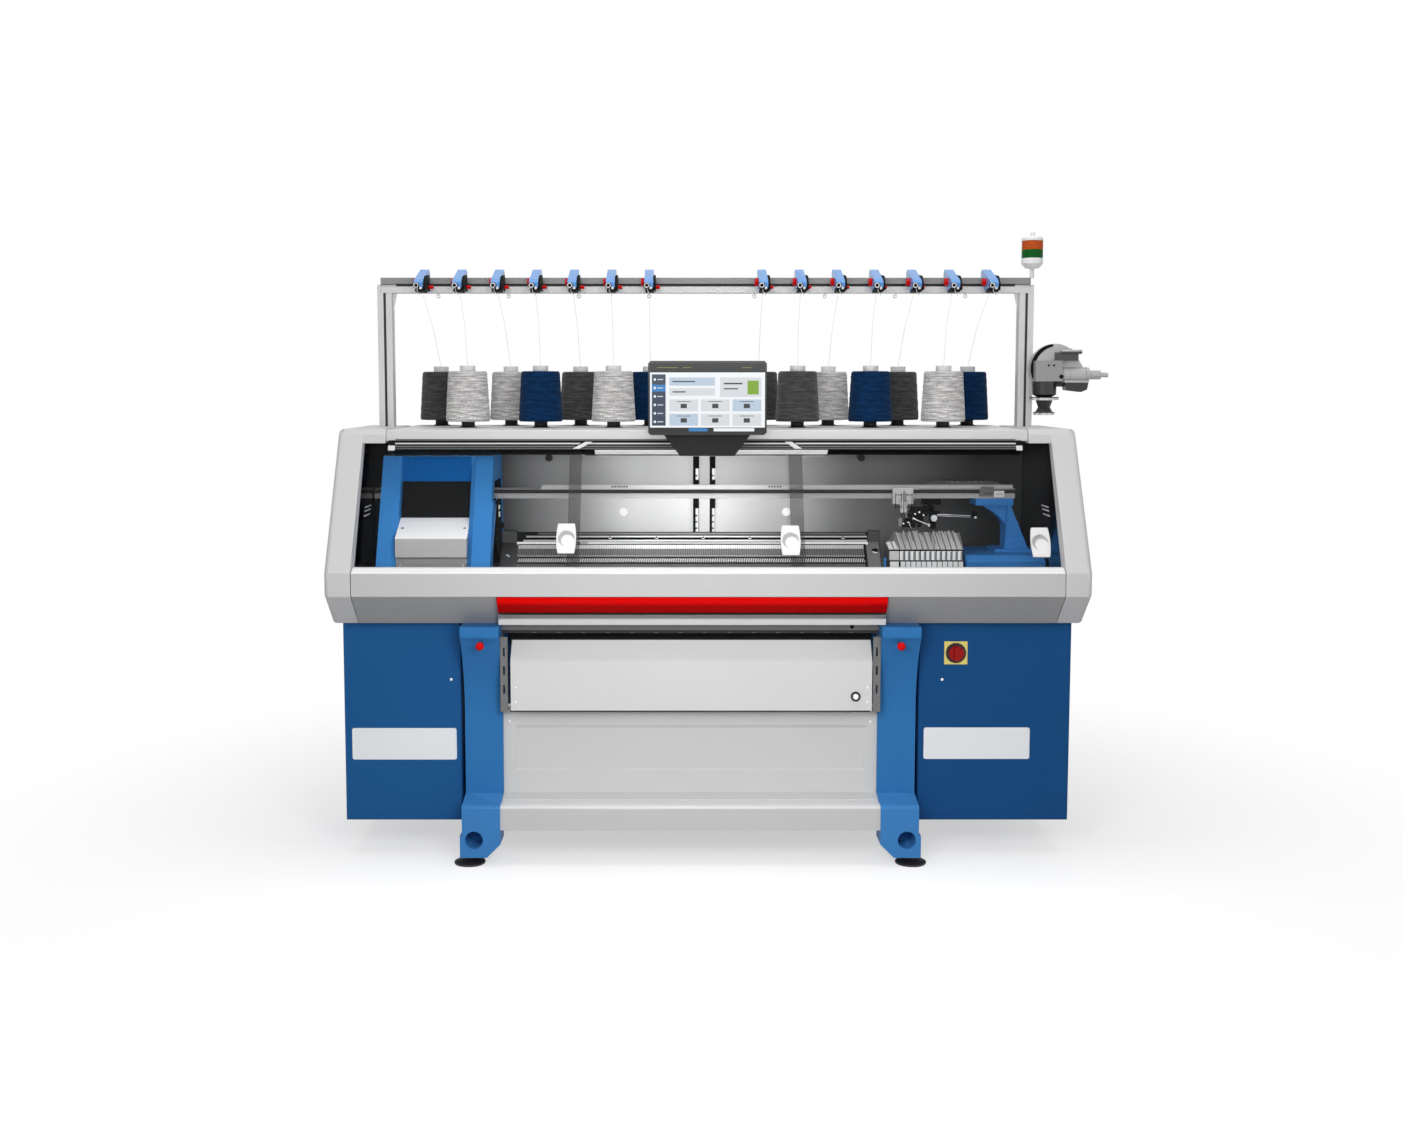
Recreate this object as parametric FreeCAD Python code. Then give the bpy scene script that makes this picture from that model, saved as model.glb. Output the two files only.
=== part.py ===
"""Flat knitting machine with carriage, three sliding doors, yarn frame and display.

Every piece is drawn in machine coordinates: X to the right from the middle between
the side shells, Y backwards from the front cover's face, Z up from the floor.  save()
then moves each piece so that the origin lies in the middle of the footprint.  Millimetres.
"""
import FreeCAD, Part
import math
import os

V = FreeCAD.Vector

# ---------------------------------------------------------------- driving sizes
gap = 0.3                   # running gap between flat faces that slide
fit = 0.05                  # radial clearance of shafts in their bores
sheet = 4.0                 # folded sheet metal
round_sides = 16            # flat steps around plain rounds
small_sides = 8

# side shells and covers
half_width = 1200.0
shell_width = 83.0
shell_round = 16.0
cover_low_z = 873.0
cover_high_z = 947.0
cover_top_z = 961.0
cover_top_y = 25.0
under_z = 773.0             # underside of shells, covers and machine bed
under_y = 111.0             # how far the lower covers slope back
shell_top_z = 1389.0
shell_top_y = 245.0
shell_back_y = 700.0
shell_arm = 71.0            # top of a shell reaches this far inwards
shell_arm_height = 46.0
window_depth = 55.0         # hollow inside each shell
shell_seam = 2.0            # open seam between the shells and the covers or the table

# machine bed
bed_front_y = 70.0
bed_top_z = 880.0
fabric_slot = 50.0          # slot through the bed below the throat
apron_low_z = 739.0         # lower edge of the strip below the bed, between the legs
apron_y = 119.0
slope_gap = 6.0             # lower covers' sheet, measured along the bed's sloping front

# legs
leg_width = 122.0
leg_span = 1210.0           # clear distance between the legs
group_x = -55.0             # middle of legs, front bar and fabric cover
leg_top_y = 30.0
leg_column_y = 129.0
leg_column_back_y = 400.0
leg_foot_y = 26.0
leg_back_y = 690.0
leg_foot_back_y = 740.0
leg_beam_z = 640.0
leg_foot_z = 31.0
leg_foot_top_z = 200.0
leg_sweep = 110.0
leg_curve_top_z = 740.0     # the front sweeps back from here down to the column
leg_curve_low_z = 480.0
leg_beam_low_z = 122.0      # underside of the foot between its two ends
leg_end = 100.0             # length of each end that stands on a machine foot
leg_beam_height = 78.0
foot_bevel = 43.0
foot_flare = 7.0
foot_flare_z = 102.0
lift_hole_r = 29.0
lift_hole_z = 88.0
lift_hole_x = 84.0          # from the leg's inner face
lift_hole_depth = 90.0
pad_r = 50.0
pad_height = 14.0
pad_stem_r = 13.0
pad_x = 104.0               # from the leg's inner face
pad_inset = 50.0            # from the foot's front and back

# bottom crossbar, lower panel and rear panel
crossbar_low_z = 119.0
crossbar_high_z = 199.0
crossbar_depth = 80.0
crossbar_round = 14.0
panel_y = 140.0
panel_low_z = 206.0
panel_high_z = 499.0
field_low_z = 283.0
field_high_z = 435.0
field_inset = 34.0
field_depth = 6.0
field_bevel = 10.0

# control cabinets
cabinet_outer_x = 1176.0
cabinet_y = 150.0
cabinet_back_y = 690.0
cabinet_low_z = 118.0
cabinet_left_gap = 7.0
cabinet_right_gap = 12.0
cabinet_round = 5.0
cabinet_door = 24.0         # thickness of the front panel
cabinet_seam = 2.0

# main switch
switch_x = 803.0
switch_z = 670.0
switch_size = 75.0
switch_plate_thick = 3.0
collar_r = 33.0
collar_depth = 4.0
switch_knob_r = 25.0
switch_knob_depth = 22.0
switch_shaft_r = 5.0

# red start bar and its sill
bar_pivot_y = 45.0
bar_pivot_z = 863.0
bar_height = 52.0
bar_front_height = 17.0
bar_slope = 30.0
bar_depth = 50.0
bar_gap = 3.0               # to the lower covers at each end
bar_over = 11.0             # how far the bar runs past the right leg's inner face
bar_pin_r = 6.0
bar_clear = 1.5             # under the front cover
cover_wall = 6.0            # end walls of the lower covers
sill_top_z = 811.0
sill_lip_z = 793.0
sill_low_z = 775.0
sill_y = 60.0

# fabric cover with its brackets and lock
fabric_side = 34.0          # from the left leg to the cover
fabric_side_right = 28.0
fabric_y = 60.0
fabric_low_z = 500.0
fabric_fold_z = 660.0
fabric_top_z = 719.0
fabric_top_y = 110.0
fabric_return = 24.0
fabric_pivot_y = 80.0
fabric_pivot_z = 514.0
fabric_pin_r = 5.0
bracket_width = 24.0
bracket_y = 70.0
bracket_depth = 68.0
bracket_low_z = 494.0
bracket_high_z = 735.0
lock_side = 52.0            # from the cover's right edge
lock_z = 546.0
lock_r = 16.0
lock_core_r = 8.0

# pull knobs of the fabric cover
knob_x = 55.0               # from the leg's inner face
knob_z = 717.0
knob_r = 14.0
knob_shaft_r = 5.0
knob_bore = 60.0
ball_flat = 3.0             # flat at the ball's front and back

# take-down rollers
roller_r = 25.0
roller_z = 690.0
roller_nip = 1.0
roller_pin_r = 8.0
roller_pin = 12.0
roller_side = 5.0

# doors and their rails, in the leaning plane of the window
door_lean = 26.57           # degrees from upright
door_foot_y = 62.0
door_foot_z = 961.0
door_sheet = 5.0
track_pitch = 18.0
track_clear = 0.5
track_depth = 12.0
rail_wall = 5.0
door_top_u = 418.0
door_low_u = -16.0
door_edges = [(-1100.0, -406.0), (-448.0, 308.0), (261.0, 1108.0)]
handle_width = 63.0
handle_height = 100.0
handle_depth = 10.0
handle_cup_r = 27.0
handle_cup = 8.0
handle_edge = 12.0          # from a door's right edge
handle_u = 92.0
top_rail_half = 1027.0

# yarn table
table_y = 255.0
table_back_y = 880.0
table_z = 1386.0
table_plate = 12.0
table_lip = 36.0
table_round = 5.0

# back wall
wall_y = 640.0
wall_plate = 10.0
wall_hole_r = 15.0
wall_hole_x = 287.0
wall_hole_z = 1085.0
wall_slot = 20.0
pillar_half = 20.0
pillar_depth = 22.0
slot_rows = [(1015.0, 1100.0), (1200.0, 1240.0)]
peg_x = 548.0
peg_z = 1277.0
peg_r = 13.0
peg_reach = 26.0
gusset_x = 620.0
gusset_plate = 8.0

# needle beds
needle_x0 = -630.0
needle_x1 = 537.0
needle_foot_y = 232.0
needle_tip_y = 322.0
needle_foot_z = 920.0
needle_tip_z = 1003.0
needle_plate = 16.0
throat_y = 354.0            # middle between the two beds
needle_pitch = 24.0
needle_slot = 9.0
needle_slot_depth = 4.0
comb_top_z = 1012.0
comb_plate = 7.0
rod_r = 5.0
rod_rows = [(338.0, 1024.0), (338.0, 1039.0), (354.0, 1032.0)]
bed_end_left_x = -680.0
bed_end_right_x = 578.0
bed_hump_half = 24.0
bed_hump_z = 1047.0

# carriage
guide_y = 165.0
guide_back_y = 560.0
guide_width = 30.0
guide_top_z = 915.0
bow_x0 = -1070.0
bow_x1 = -706.0
bow_side = 60.0
bow_side_right = 72.0
bow_foot_y = 150.0
bow_foot_inner_y = 225.0
bow_top_y = 330.0
bow_top_inner_y = 352.0
bow_rear_y = 600.0
bow_rear_top_y = 560.0
bow_rear_inner_y = 530.0
bow_rear_foot_y = 548.0
bow_top_z = 1298.0
bow_under_z = 1213.0
bow_bevel = 16.0
flank_plate = 5.0           # plate on the right side frame
flank_top_z = 1150.0
hood_y = 180.0
hood_front_z = 1038.0
hood_top_y = 290.0
hood_top_z = 1095.0
hood_back_y = 318.0
hood_low_z = 937.0
hood_step = 12.0
hood_step_z = 974.0
cam_clear = 5.0
cam_plate = 9.0
rear_cam_height = 76.0
rear_cam_bevel = 30.0
visor = 6.0                 # dark plate between the bow's sides, above the hood
visor_y = 296.0

# carrier rails, carriers and stands
rail_left_x = -1112.0
rail_right_x = 1035.0
rail_y = 376.0
rail_pitch = 29.0
rail_thick = 20.0
rail_count = 4
rail_low_z = 1153.0
rail_height = 29.0
rail_groove = 8.0
rail_groove_depth = 5.0
end_plate_x = 715.0
end_plate = 4.0
end_plate_slots = 7
end_plate_rise = 20.0
end_plate_taper = 80.0
stand_x0 = 905.0
stand_x1 = 1030.0
stand_head = 24.0           # height of the stand's head below the rails
stand_neck_y = 400.0        # the neck stands back from the front buttress
stand_steps = 3
stand_step = 5.0
stand_foot_x0 = 968.0
stand_foot_x1 = 1098.0
stand_foot_height = 10.0
deck_x0 = 850.0
deck_x1 = 1110.0
deck_y = 245.0
deck_back_y = 548.0
deck_z = 973.0
left_stand = 34.0
carrier_x = 658.0
carrier_half = 34.0
second_carrier_x = 760.0
carrier_plate = 14.0
foot_z = 1052.0

# clamp unit beside the needle bed
clamp_x0 = 594.0
clamp_x1 = 838.0
clamp_bevel = 28.0
clamp_y = 230.0
clamp_face_z = 995.0
clamp_top_y = 300.0
clamp_top_z = 1044.0
clamp_back_y = 325.0
clamp_slots = 12
clamp_slot = 5.0
clamp_slot_depth = 7.0

# yarn frame
post_outer_x = 1126.0
post_width = 50.0
post_y = 548.0
post_depth = 45.0
beam_low_z = 1846.0
beam_height = 52.0
beam_half = 1114.0
post_cheek = 28.0           # how far a post's outer edge reaches up beside the beam
profile_groove = 8.0
gusset_size = 80.0
gusset_reach = 16.0
hook_x = 181.0
hook_shift = -13.0
hook_pitch = 242.0
hook_count = 4
hook_r = 6.0
hook_wire_r = 1.6

# yarn control units
unit_x = 193.0
unit_pitch = 128.8
unit_count = 7
unit_width = 30.0
unit_nose_y = 440.0
unit_nose_z = 1868.0
unit_rise = 42.0
unit_overhang = 14.0
unit_knob_r = 14.0
unit_knob_long = 12.0
unit_pin_r = 7.0
unit_pin_long = 22.0
unit_knob_sides = 6

# yarn cones
cone_base_r = 77.0
cone_tip_r = 67.0
cone_height = 172.0
cone_foot = 21.0
cone_foot_r = 30.0
cone_stub_r = 23.0
cone_tube_r = 27.0
cone_tube_rise = 19.0
front_row_y = 546.0
front_row_x = 317.0
back_row_y = 788.0
back_row_x = 195.0
cone_pitch = 251.0

# display
display_width = 380.0
display_height = 237.0
display_low_z = 1372.0
display_y = 175.0
display_depth = 32.0
display_round = 8.0
hinge_y = 222.0
hinge_z = 1412.0
hinge_pin_r = 6.0
hinge_half = 30.0
neck_half = 44.0
bracket_top_half = 146.0
bracket_low_half = 88.0
bracket_foot_z = 1303.0
bracket_plate = 14.0
bracket_plate_y = 212.0

# work light
light_half = 400.0
light_y = 303.0
light_width = 22.0
light_low_z = 1299.0
light_height = 15.0
light_arm_x = 345.0
light_arm = 40.0

# signal beacon
beacon_x = 1122.0
beacon_r = 37.0
beacon_stem_r = 8.0
beacon_low_z = 1931.0
beacon_rings = [34.0, 29.0, 30.0, 14.0]
beacon_tip_r = 9.0
beacon_tip = 15.0

# side feeder on the right post
feeder_disc_r = 84.0
feeder_disc_x = 1191.0
feeder_disc_z = 1588.0
feeder_disc_low = 62.0      # the disc is cut off this far below its middle
feeder_y = 470.0
feeder_depth = 60.0
feeder_reach_x = 1370.0
feeder_box = 74.0           # gear block before the disc
motor_r = 26.0
motor_low_z = 1566.0
wheel_x = 1156.0
wheel_high_r = 50.0
wheel_low_r = 36.0
wheel_teeth = 12
wheel_tooth = 4.0
wheel_plate = 10.0
wheel_high_z = 1481.0
wheel_low_z = 1430.0
wheel_shaft_r = 12.0

# ---------------------------------------------------------------- derived places
inner_x = half_width - shell_width
leg_inner_left = group_x - leg_span / 2
leg_inner_right = group_x + leg_span / 2
fabric_x0 = leg_inner_left + fabric_side
fabric_x1 = leg_inner_right - fabric_side_right
bar_right = leg_inner_right + bar_over
bow_inner_left = bow_x0 + bow_side
bow_inner_right = bow_x1 - bow_side_right
roller_y = throat_y - roller_r - roller_nip / 2
roller_rear_y = 2 * throat_y - roller_y
needle_slope = (needle_tip_z - needle_foot_z) / (needle_tip_y - needle_foot_y)
under_table_z = table_z - table_plate
beam_top_z = beam_low_z + beam_height
rail_top_z = rail_low_z + rail_height
rail_back_y = rail_y + (rail_count - 1) * rail_pitch + rail_thick

# the origin lies in the middle of the footprint, on the floor
front_reach = -knob_r
frame_shift = V((half_width - feeder_reach_x) / 2, -(front_reach + table_back_y) / 2, 0)


# ---------------------------------------------------------------- form helpers
def box(x0, x1, y0, y1, z0, z1):
    return Part.makeBox(x1 - x0, y1 - y0, z1 - z0, V(x0, y0, z0))


def prism_x(points, x0, x1):
    """A (Y, Z) outline drawn out along X."""
    corners = [V(x0, y, z) for y, z in points]
    face = Part.Face(Part.makePolygon(corners + corners[:1]))
    return face.extrude(V(x1 - x0, 0, 0))


def prism_y(points, y0, y1):
    """An (X, Z) outline drawn out along Y."""
    corners = [V(x, y0, z) for x, z in points]
    face = Part.Face(Part.makePolygon(corners + corners[:1]))
    return face.extrude(V(0, y1 - y0, 0))


def rod_x(x0, x1, y, z, r):
    return Part.makeCylinder(r, x1 - x0, V(x0, y, z), V(1, 0, 0))


def rod_y(x, y0, y1, z, r):
    return Part.makeCylinder(r, y1 - y0, V(x, y0, z), V(0, 1, 0))


def rod_z(x, y, z0, z1, r):
    return Part.makeCylinder(r, z1 - z0, V(x, y, z0), V(0, 0, 1))


def ring_points(r, sides):
    """Corner offsets of an even-sided outline with a flat at the bottom."""
    turns = [2 * math.pi * (i + 0.5) / sides for i in range(sides)]
    return [(r * math.cos(t), r * math.sin(t)) for t in turns]


def flat_ring(x, y, z, outer, inner, thick, sides):
    """A ring of flat faces about an axis along Y."""
    rims = []
    for r in (outer, inner):
        corners = [V(x + u, y, z + v) for u, v in ring_points(r, sides)]
        rims.append(Part.Face(Part.makePolygon(corners + corners[:1])))
    return rims[0].cut(rims[1]).extrude(V(0, thick, 0))


def bar_x(x0, x1, y, z, r, sides):
    """Round bar in flat steps, for rounds that nothing turns in."""
    return prism_x([(y + u, z + v) for u, v in ring_points(r, sides)], x0, x1)


def bar_y(x, y0, y1, z, r, sides):
    return prism_y([(x + u, z + v) for u, v in ring_points(r, sides)], y0, y1)


def stacked(rings):
    """A closed body of flat faces between rings of as many corners each."""
    faces = [Part.Face(Part.makePolygon(r + r[:1])) for r in (rings[0], rings[-1])]
    for low, high in zip(rings, rings[1:]):
        for i in range(len(low)):
            k = (i + 1) % len(low)
            faces.append(Part.Face(Part.makePolygon([low[i], low[k], high[k], high[i], low[i]])))
    solid = Part.Solid(Part.Shell(faces))
    if solid.Volume < 0:
        solid.reverse()
    return solid


def faceted_z(x, y, levels, sides):
    """A body of flat faces about an upright axis through (radius, Z) levels."""
    return stacked([[V(x + u, y + v, z) for u, v in ring_points(r, sides)] for r, z in levels])


def rounded(solid, radius, chosen):
    """Round the edges whose two ends chosen() accepts."""
    edges = [e for e in solid.Edges if all(chosen(v.Point) for v in e.Vertexes)]
    return solid.makeFillet(radius, edges)


def leaning(solid):
    """Put a piece drawn upright at the door plane's foot into the leaning plane."""
    turned = solid.copy()
    turned.rotate(V(0, 0, 0), V(1, 0, 0), -door_lean)
    turned.translate(V(0, door_foot_y, door_foot_z))
    return turned


def mirrored(solid, x):
    return solid.mirror(V(x, 0, 0), V(1, 0, 0))


def save(node, solids):
    """Write one sub-part, moved so that the origin is the middle of the footprint."""
    group = [s for part in solids for s in part.Solids]
    moved = Part.makeCompound([s.translated(frame_shift) for s in group])
    if len(group) == 1:
        moved = moved.Solids[0]
    moved.exportStep("parts/" + node + ".step")


# ---------------------------------------------------------------- legs and base
def front_curve(z):
    """(Y, Z) on the hollow sweep of a leg's front, which ends upright at the column."""
    reach = leg_column_y - leg_top_y
    drop = leg_curve_top_z - leg_curve_low_z
    r = (reach ** 2 + drop ** 2) / (2 * reach)
    return leg_column_y - r + math.sqrt(r ** 2 - (z - leg_curve_low_z) ** 2), z


def leg(inner, outwards):
    """A C-shaped leg frame, from its inner face outwards (-1 left, +1 right)."""
    top, foot = under_z, leg_foot_z
    knee_z = leg_foot_top_z
    back_top_z = leg_beam_low_z + leg_beam_height
    front_end = leg_foot_y + leg_end
    back_end = leg_foot_back_y - leg_end
    start = V(0, leg_top_y, top)
    head = V(0, leg_top_y, leg_curve_top_z)
    rim = [
        Part.LineSegment(start, head),
        Part.Arc(head, V(0, *front_curve((leg_curve_top_z + leg_curve_low_z) / 2)),
                 V(0, leg_column_y, leg_curve_low_z)),
        Part.LineSegment(V(0, leg_column_y, leg_curve_low_z), V(0, leg_column_y, knee_z + 16)),
        Part.LineSegment(V(0, leg_column_y, knee_z + 16), V(0, leg_foot_y + 12, knee_z)),
        Part.Arc(V(0, leg_foot_y + 12, knee_z), V(0, leg_foot_y + 3, knee_z - 4),
                 V(0, leg_foot_y, knee_z - 14)),
        Part.LineSegment(V(0, leg_foot_y, knee_z - 14), V(0, leg_foot_y, foot)),
        Part.LineSegment(V(0, leg_foot_y, foot), V(0, front_end, foot)),
        Part.LineSegment(V(0, front_end, foot), V(0, front_end, leg_beam_low_z)),
        Part.LineSegment(V(0, front_end, leg_beam_low_z), V(0, back_end, leg_beam_low_z)),
        Part.LineSegment(V(0, back_end, leg_beam_low_z), V(0, back_end, foot)),
        Part.LineSegment(V(0, back_end, foot), V(0, leg_foot_back_y, foot)),
        Part.LineSegment(V(0, leg_foot_back_y, foot), V(0, leg_foot_back_y, back_top_z)),
        Part.LineSegment(V(0, leg_foot_back_y, back_top_z),
                         V(0, leg_column_back_y + leg_sweep, back_top_z)),
        Part.Arc(V(0, leg_column_back_y + leg_sweep, back_top_z),
                 V(0, leg_column_back_y + leg_sweep * 0.29, back_top_z + leg_sweep * 0.29),
                 V(0, leg_column_back_y, back_top_z + leg_sweep)),
        Part.LineSegment(V(0, leg_column_back_y, back_top_z + leg_sweep),
                         V(0, leg_column_back_y, leg_beam_z - leg_sweep)),
        Part.Arc(V(0, leg_column_back_y, leg_beam_z - leg_sweep),
                 V(0, leg_column_back_y + leg_sweep * 0.29, leg_beam_z - leg_sweep * 0.29),
                 V(0, leg_column_back_y + leg_sweep, leg_beam_z)),
        Part.LineSegment(V(0, leg_column_back_y + leg_sweep, leg_beam_z), V(0, leg_back_y, leg_beam_z)),
        Part.LineSegment(V(0, leg_back_y, leg_beam_z), V(0, leg_back_y, top)),
        Part.LineSegment(V(0, leg_back_y, top), start),
    ]
    wire = Part.Wire([s.toShape() for s in rim])
    body = Part.Face(wire).extrude(V(leg_width, 0, 0))
    body = body.fuse(box(leg_width, leg_width + foot_flare, leg_foot_y, leg_foot_y + 90,
                         foot, foot_flare_z)).removeSplitter()
    body = body.cut(prism_y([(0, foot), (foot_bevel, foot), (0, foot + foot_bevel)],
                            leg_foot_y, leg_foot_back_y))
    body = body.cut(bar_y(lift_hole_x, leg_foot_y, leg_foot_y + lift_hole_depth, lift_hole_z,
                          lift_hole_r, round_sides))
    body = body.cut(rod_y(knob_x, leg_top_y, leg_top_y + knob_bore, knob_z, knob_shaft_r + fit))
    for y in (roller_y, roller_rear_y):
        body = body.cut(rod_x(0, roller_pin + 1, y, roller_z, roller_pin_r + fit))
    if outwards < 0:
        body = mirrored(body, 0)
    body.translate(V(inner, 0, 0))
    return body


def levelling_foot(x, y):
    """Machine foot: wide pad, hub and threaded stem up to the leg."""
    pad = faceted_z(x, y, [(pad_r, 0), (pad_r, 6), (pad_stem_r + 8, pad_height)], round_sides)
    stem = faceted_z(x, y, [(pad_stem_r, pad_height - 1), (pad_stem_r, leg_foot_z)], small_sides)
    return pad.fuse(stem).removeSplitter()


def crossbar():
    y0, y1 = leg_top_y, leg_top_y + crossbar_depth
    bar = box(leg_inner_left, leg_inner_right, y0, y1, crossbar_low_z, crossbar_high_z)
    return rounded(bar, crossbar_round, lambda p: p.z > crossbar_high_z - 1 and p.y < y0 + 1)


def lower_panel():
    """Pressed panel with a raised field edge, folded forward to the crossbar at its foot."""
    x0, x1 = leg_inner_left, leg_inner_right
    plate = box(x0, x1, panel_y, panel_y + field_depth + sheet, panel_low_z, panel_high_z)
    fx0, fx1 = x0 + field_inset, x1 - field_inset
    b, d = field_bevel, field_depth
    wide = [V(fx0, panel_y, field_low_z), V(fx1, panel_y, field_low_z),
            V(fx1, panel_y, field_high_z), V(fx0, panel_y, field_high_z)]
    small = [V(fx0 + b, panel_y + d, field_low_z + b), V(fx1 - b, panel_y + d, field_low_z + b),
             V(fx1 - b, panel_y + d, field_high_z - b), V(fx0 + b, panel_y + d, field_high_z - b)]
    plate = plate.cut(stacked([wide, small]))
    shelf = prism_x([(leg_top_y + crossbar_depth - 20, crossbar_high_z),
                     (panel_y + sheet, crossbar_high_z), (panel_y + sheet, panel_low_z + 8),
                     (panel_y, panel_low_z + 8), (leg_top_y + crossbar_depth - 20, crossbar_high_z + 5)],
                    x0, x1)
    return plate.fuse(shelf).removeSplitter()


def cover_bracket(inner, side):
    """Slotted angle bracket at one leg with the lug that holds the fabric cover's pin."""
    plate = box(0, sheet, bracket_y, bracket_y + bracket_depth, bracket_low_z, bracket_high_z)
    face = box(0, bracket_width, bracket_y, bracket_y + sheet, bracket_low_z, bracket_high_z)
    rows = 3
    pitch = (bracket_high_z - bracket_low_z) / (rows + 1)
    for row in range(rows):
        z = bracket_low_z + (row + 1) * pitch
        face = face.cut(box(9, 15, bracket_y, bracket_y + sheet, z - 2, z + 26))
    lug_x = bracket_width - 6
    lug = box(lug_x, bracket_width, bracket_y, fabric_pivot_y + 14, fabric_pivot_z - 18, fabric_pivot_z + 18)
    lug = lug.cut(rod_x(lug_x, bracket_width, fabric_pivot_y, fabric_pivot_z, fabric_pin_r + fit))
    body = plate.fuse([face, lug]).removeSplitter()
    if side > 0:
        body = mirrored(body, 0)
    body.translate(V(inner, 0, 0))
    return body


def rear_panel():
    return box(leg_inner_left, leg_inner_right, leg_back_y - 30, leg_back_y - 30 + sheet,
               leg_foot_top_z - 60, under_z)


def cabinet(x0, x1):
    body = box(x0, x1, cabinet_y, cabinet_back_y, cabinet_low_z, under_z)
    body = rounded(body, cabinet_round, lambda p: p.y < cabinet_y + 1)
    y0, y1 = cabinet_y + cabinet_door, cabinet_y + cabinet_door + cabinet_seam
    ring = box(x0, x1, y0, y1, cabinet_low_z, under_z)
    core = box(x0 + cabinet_seam, x1 - cabinet_seam, y0, y1, cabinet_low_z + cabinet_seam, under_z)
    return body.cut(ring.cut(core))


def machine_bed():
    """The girder that carries beds, rails and covers; it stands on the legs."""
    slope = under_y + slope_gap
    rim = [(slope, under_z), (shell_back_y, under_z), (shell_back_y, bed_top_z),
           (bed_front_y, bed_top_z), (bed_front_y, slope + under_z - bed_front_y)]
    slot = box(needle_x0, needle_x1, throat_y - fabric_slot / 2, throat_y + fabric_slot / 2,
               under_z, bed_top_z)
    return prism_x(rim, -inner_x, inner_x).cut(slot)


# ---------------------------------------------------------------- covers and shells
def front_cover():
    """Sheet cover below the window: bevelled top edge, upright face, flange to the bed."""
    t = sheet
    rim = [(0, cover_low_z), (0, cover_high_z), (cover_top_y, cover_top_z - 1),
           (cover_top_y + 27, cover_top_z), (cover_top_y + 27, cover_top_z - t),
           (cover_top_y + 1, cover_top_z - t - 1), (t, cover_high_z - 2), (t, cover_low_z + t),
           (bed_front_y, cover_low_z + t), (bed_front_y, cover_low_z)]
    return prism_x(rim, -inner_x + shell_seam, inner_x - shell_seam)


def lower_cover(x0, x1, wall_x):
    """Sloping lower cover with the end wall that holds the red bar's pin."""
    rim = [(0, cover_low_z), (under_y, under_z), (under_y + slope_gap, under_z),
           (under_y + 1, under_z + slope_gap - 1), (slope_gap + 1, cover_low_z)]
    body = prism_x(rim, x0, x1)
    wall = [(sheet, cover_low_z), (bed_front_y, cover_low_z),
            (bed_front_y, under_y + slope_gap + under_z - bed_front_y),
            (under_y + 1, under_z + slope_gap - 1)]
    body = body.fuse(prism_x(wall, wall_x, wall_x + cover_wall)).removeSplitter()
    return body.cut(rod_x(wall_x, wall_x + cover_wall, bar_pivot_y, bar_pivot_z, bar_pin_r + fit))


def bar_sill():
    slope = under_y + slope_gap + under_z
    rim = [(sill_y - 26, sill_top_z), (sill_y, sill_lip_z), (sill_y, sill_low_z),
           (slope - sill_low_z, sill_low_z), (slope - sill_top_z, sill_top_z)]
    return prism_x(rim, leg_inner_left - bar_gap, bar_right + bar_gap)


def bed_apron():
    """Strip that hangs from the bed behind the fabric cover's top edge."""
    return box(leg_inner_left + gap, leg_inner_right - gap, apron_y, apron_y + sheet, apron_low_z, under_z)


def red_bar():
    top = cover_low_z - bar_clear
    rim = [(0, top), (0, top - bar_front_height), (bar_slope, top - bar_height),
           (bar_depth, top - bar_height + 6), (bar_depth, top)]
    x0, x1 = leg_inner_left, bar_right
    pins = rod_x(x0 - bar_gap - cover_wall + 1, x1 + bar_gap + cover_wall - 1,
                 bar_pivot_y, bar_pivot_z, bar_pin_r)
    return prism_x(rim, x0, x1).fuse(pins).removeSplitter()


def side_shell(side):
    """Moulded side shell: leaning front edge, undercut nose, hollow behind the window."""
    rim = [(0, cover_low_z), (0, cover_high_z), (shell_top_y - 6, shell_top_z - 18),
           (shell_top_y + 10, shell_top_z), (shell_back_y, shell_top_z),
           (shell_back_y, under_z), (under_y, under_z)]
    body = prism_x(rim, inner_x, half_width)
    body = rounded(body, shell_round, lambda p: p.x > half_width - 1)
    arm_low = shell_top_z - shell_arm_height
    lean = math.tan(math.radians(door_lean))
    arm = [(shell_top_y + 10, shell_top_z), (shell_back_y, shell_top_z), (shell_back_y, under_table_z),
           (shell_top_y + 60, under_table_z), (shell_top_y + 60 - 30 * lean, arm_low),
           (shell_top_y - 10, arm_low), (shell_top_y - 6, shell_top_z - 18)]
    body = body.fuse(prism_x(arm, inner_x - shell_arm, inner_x + 20)).removeSplitter()
    hollow = [(cover_top_y + 110, cover_top_z + 20), (shell_top_y + 60, arm_low - 30),
              (wall_y - 40, arm_low - 30), (wall_y - 40, cover_top_z + 20)]
    body = body.cut(prism_x(hollow, inner_x - 1, inner_x + window_depth))
    return body if side > 0 else mirrored(body, 0)


def yarn_table():
    half = inner_x - shell_arm - shell_seam / 2
    lip_low = table_z - table_lip
    rim = [(table_y, lip_low), (table_y, table_z), (table_back_y, table_z),
           (table_back_y, lip_low), (table_back_y - sheet, lip_low),
           (table_back_y - sheet, under_table_z), (table_y + sheet, under_table_z),
           (table_y + sheet, lip_low)]
    body = prism_x(rim, -half, half)
    return rounded(body, table_round, lambda p: p.z > table_z - 1 and p.y < table_y + 1)


# ---------------------------------------------------------------- doors
def track_w(track):
    return track * track_pitch


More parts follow.
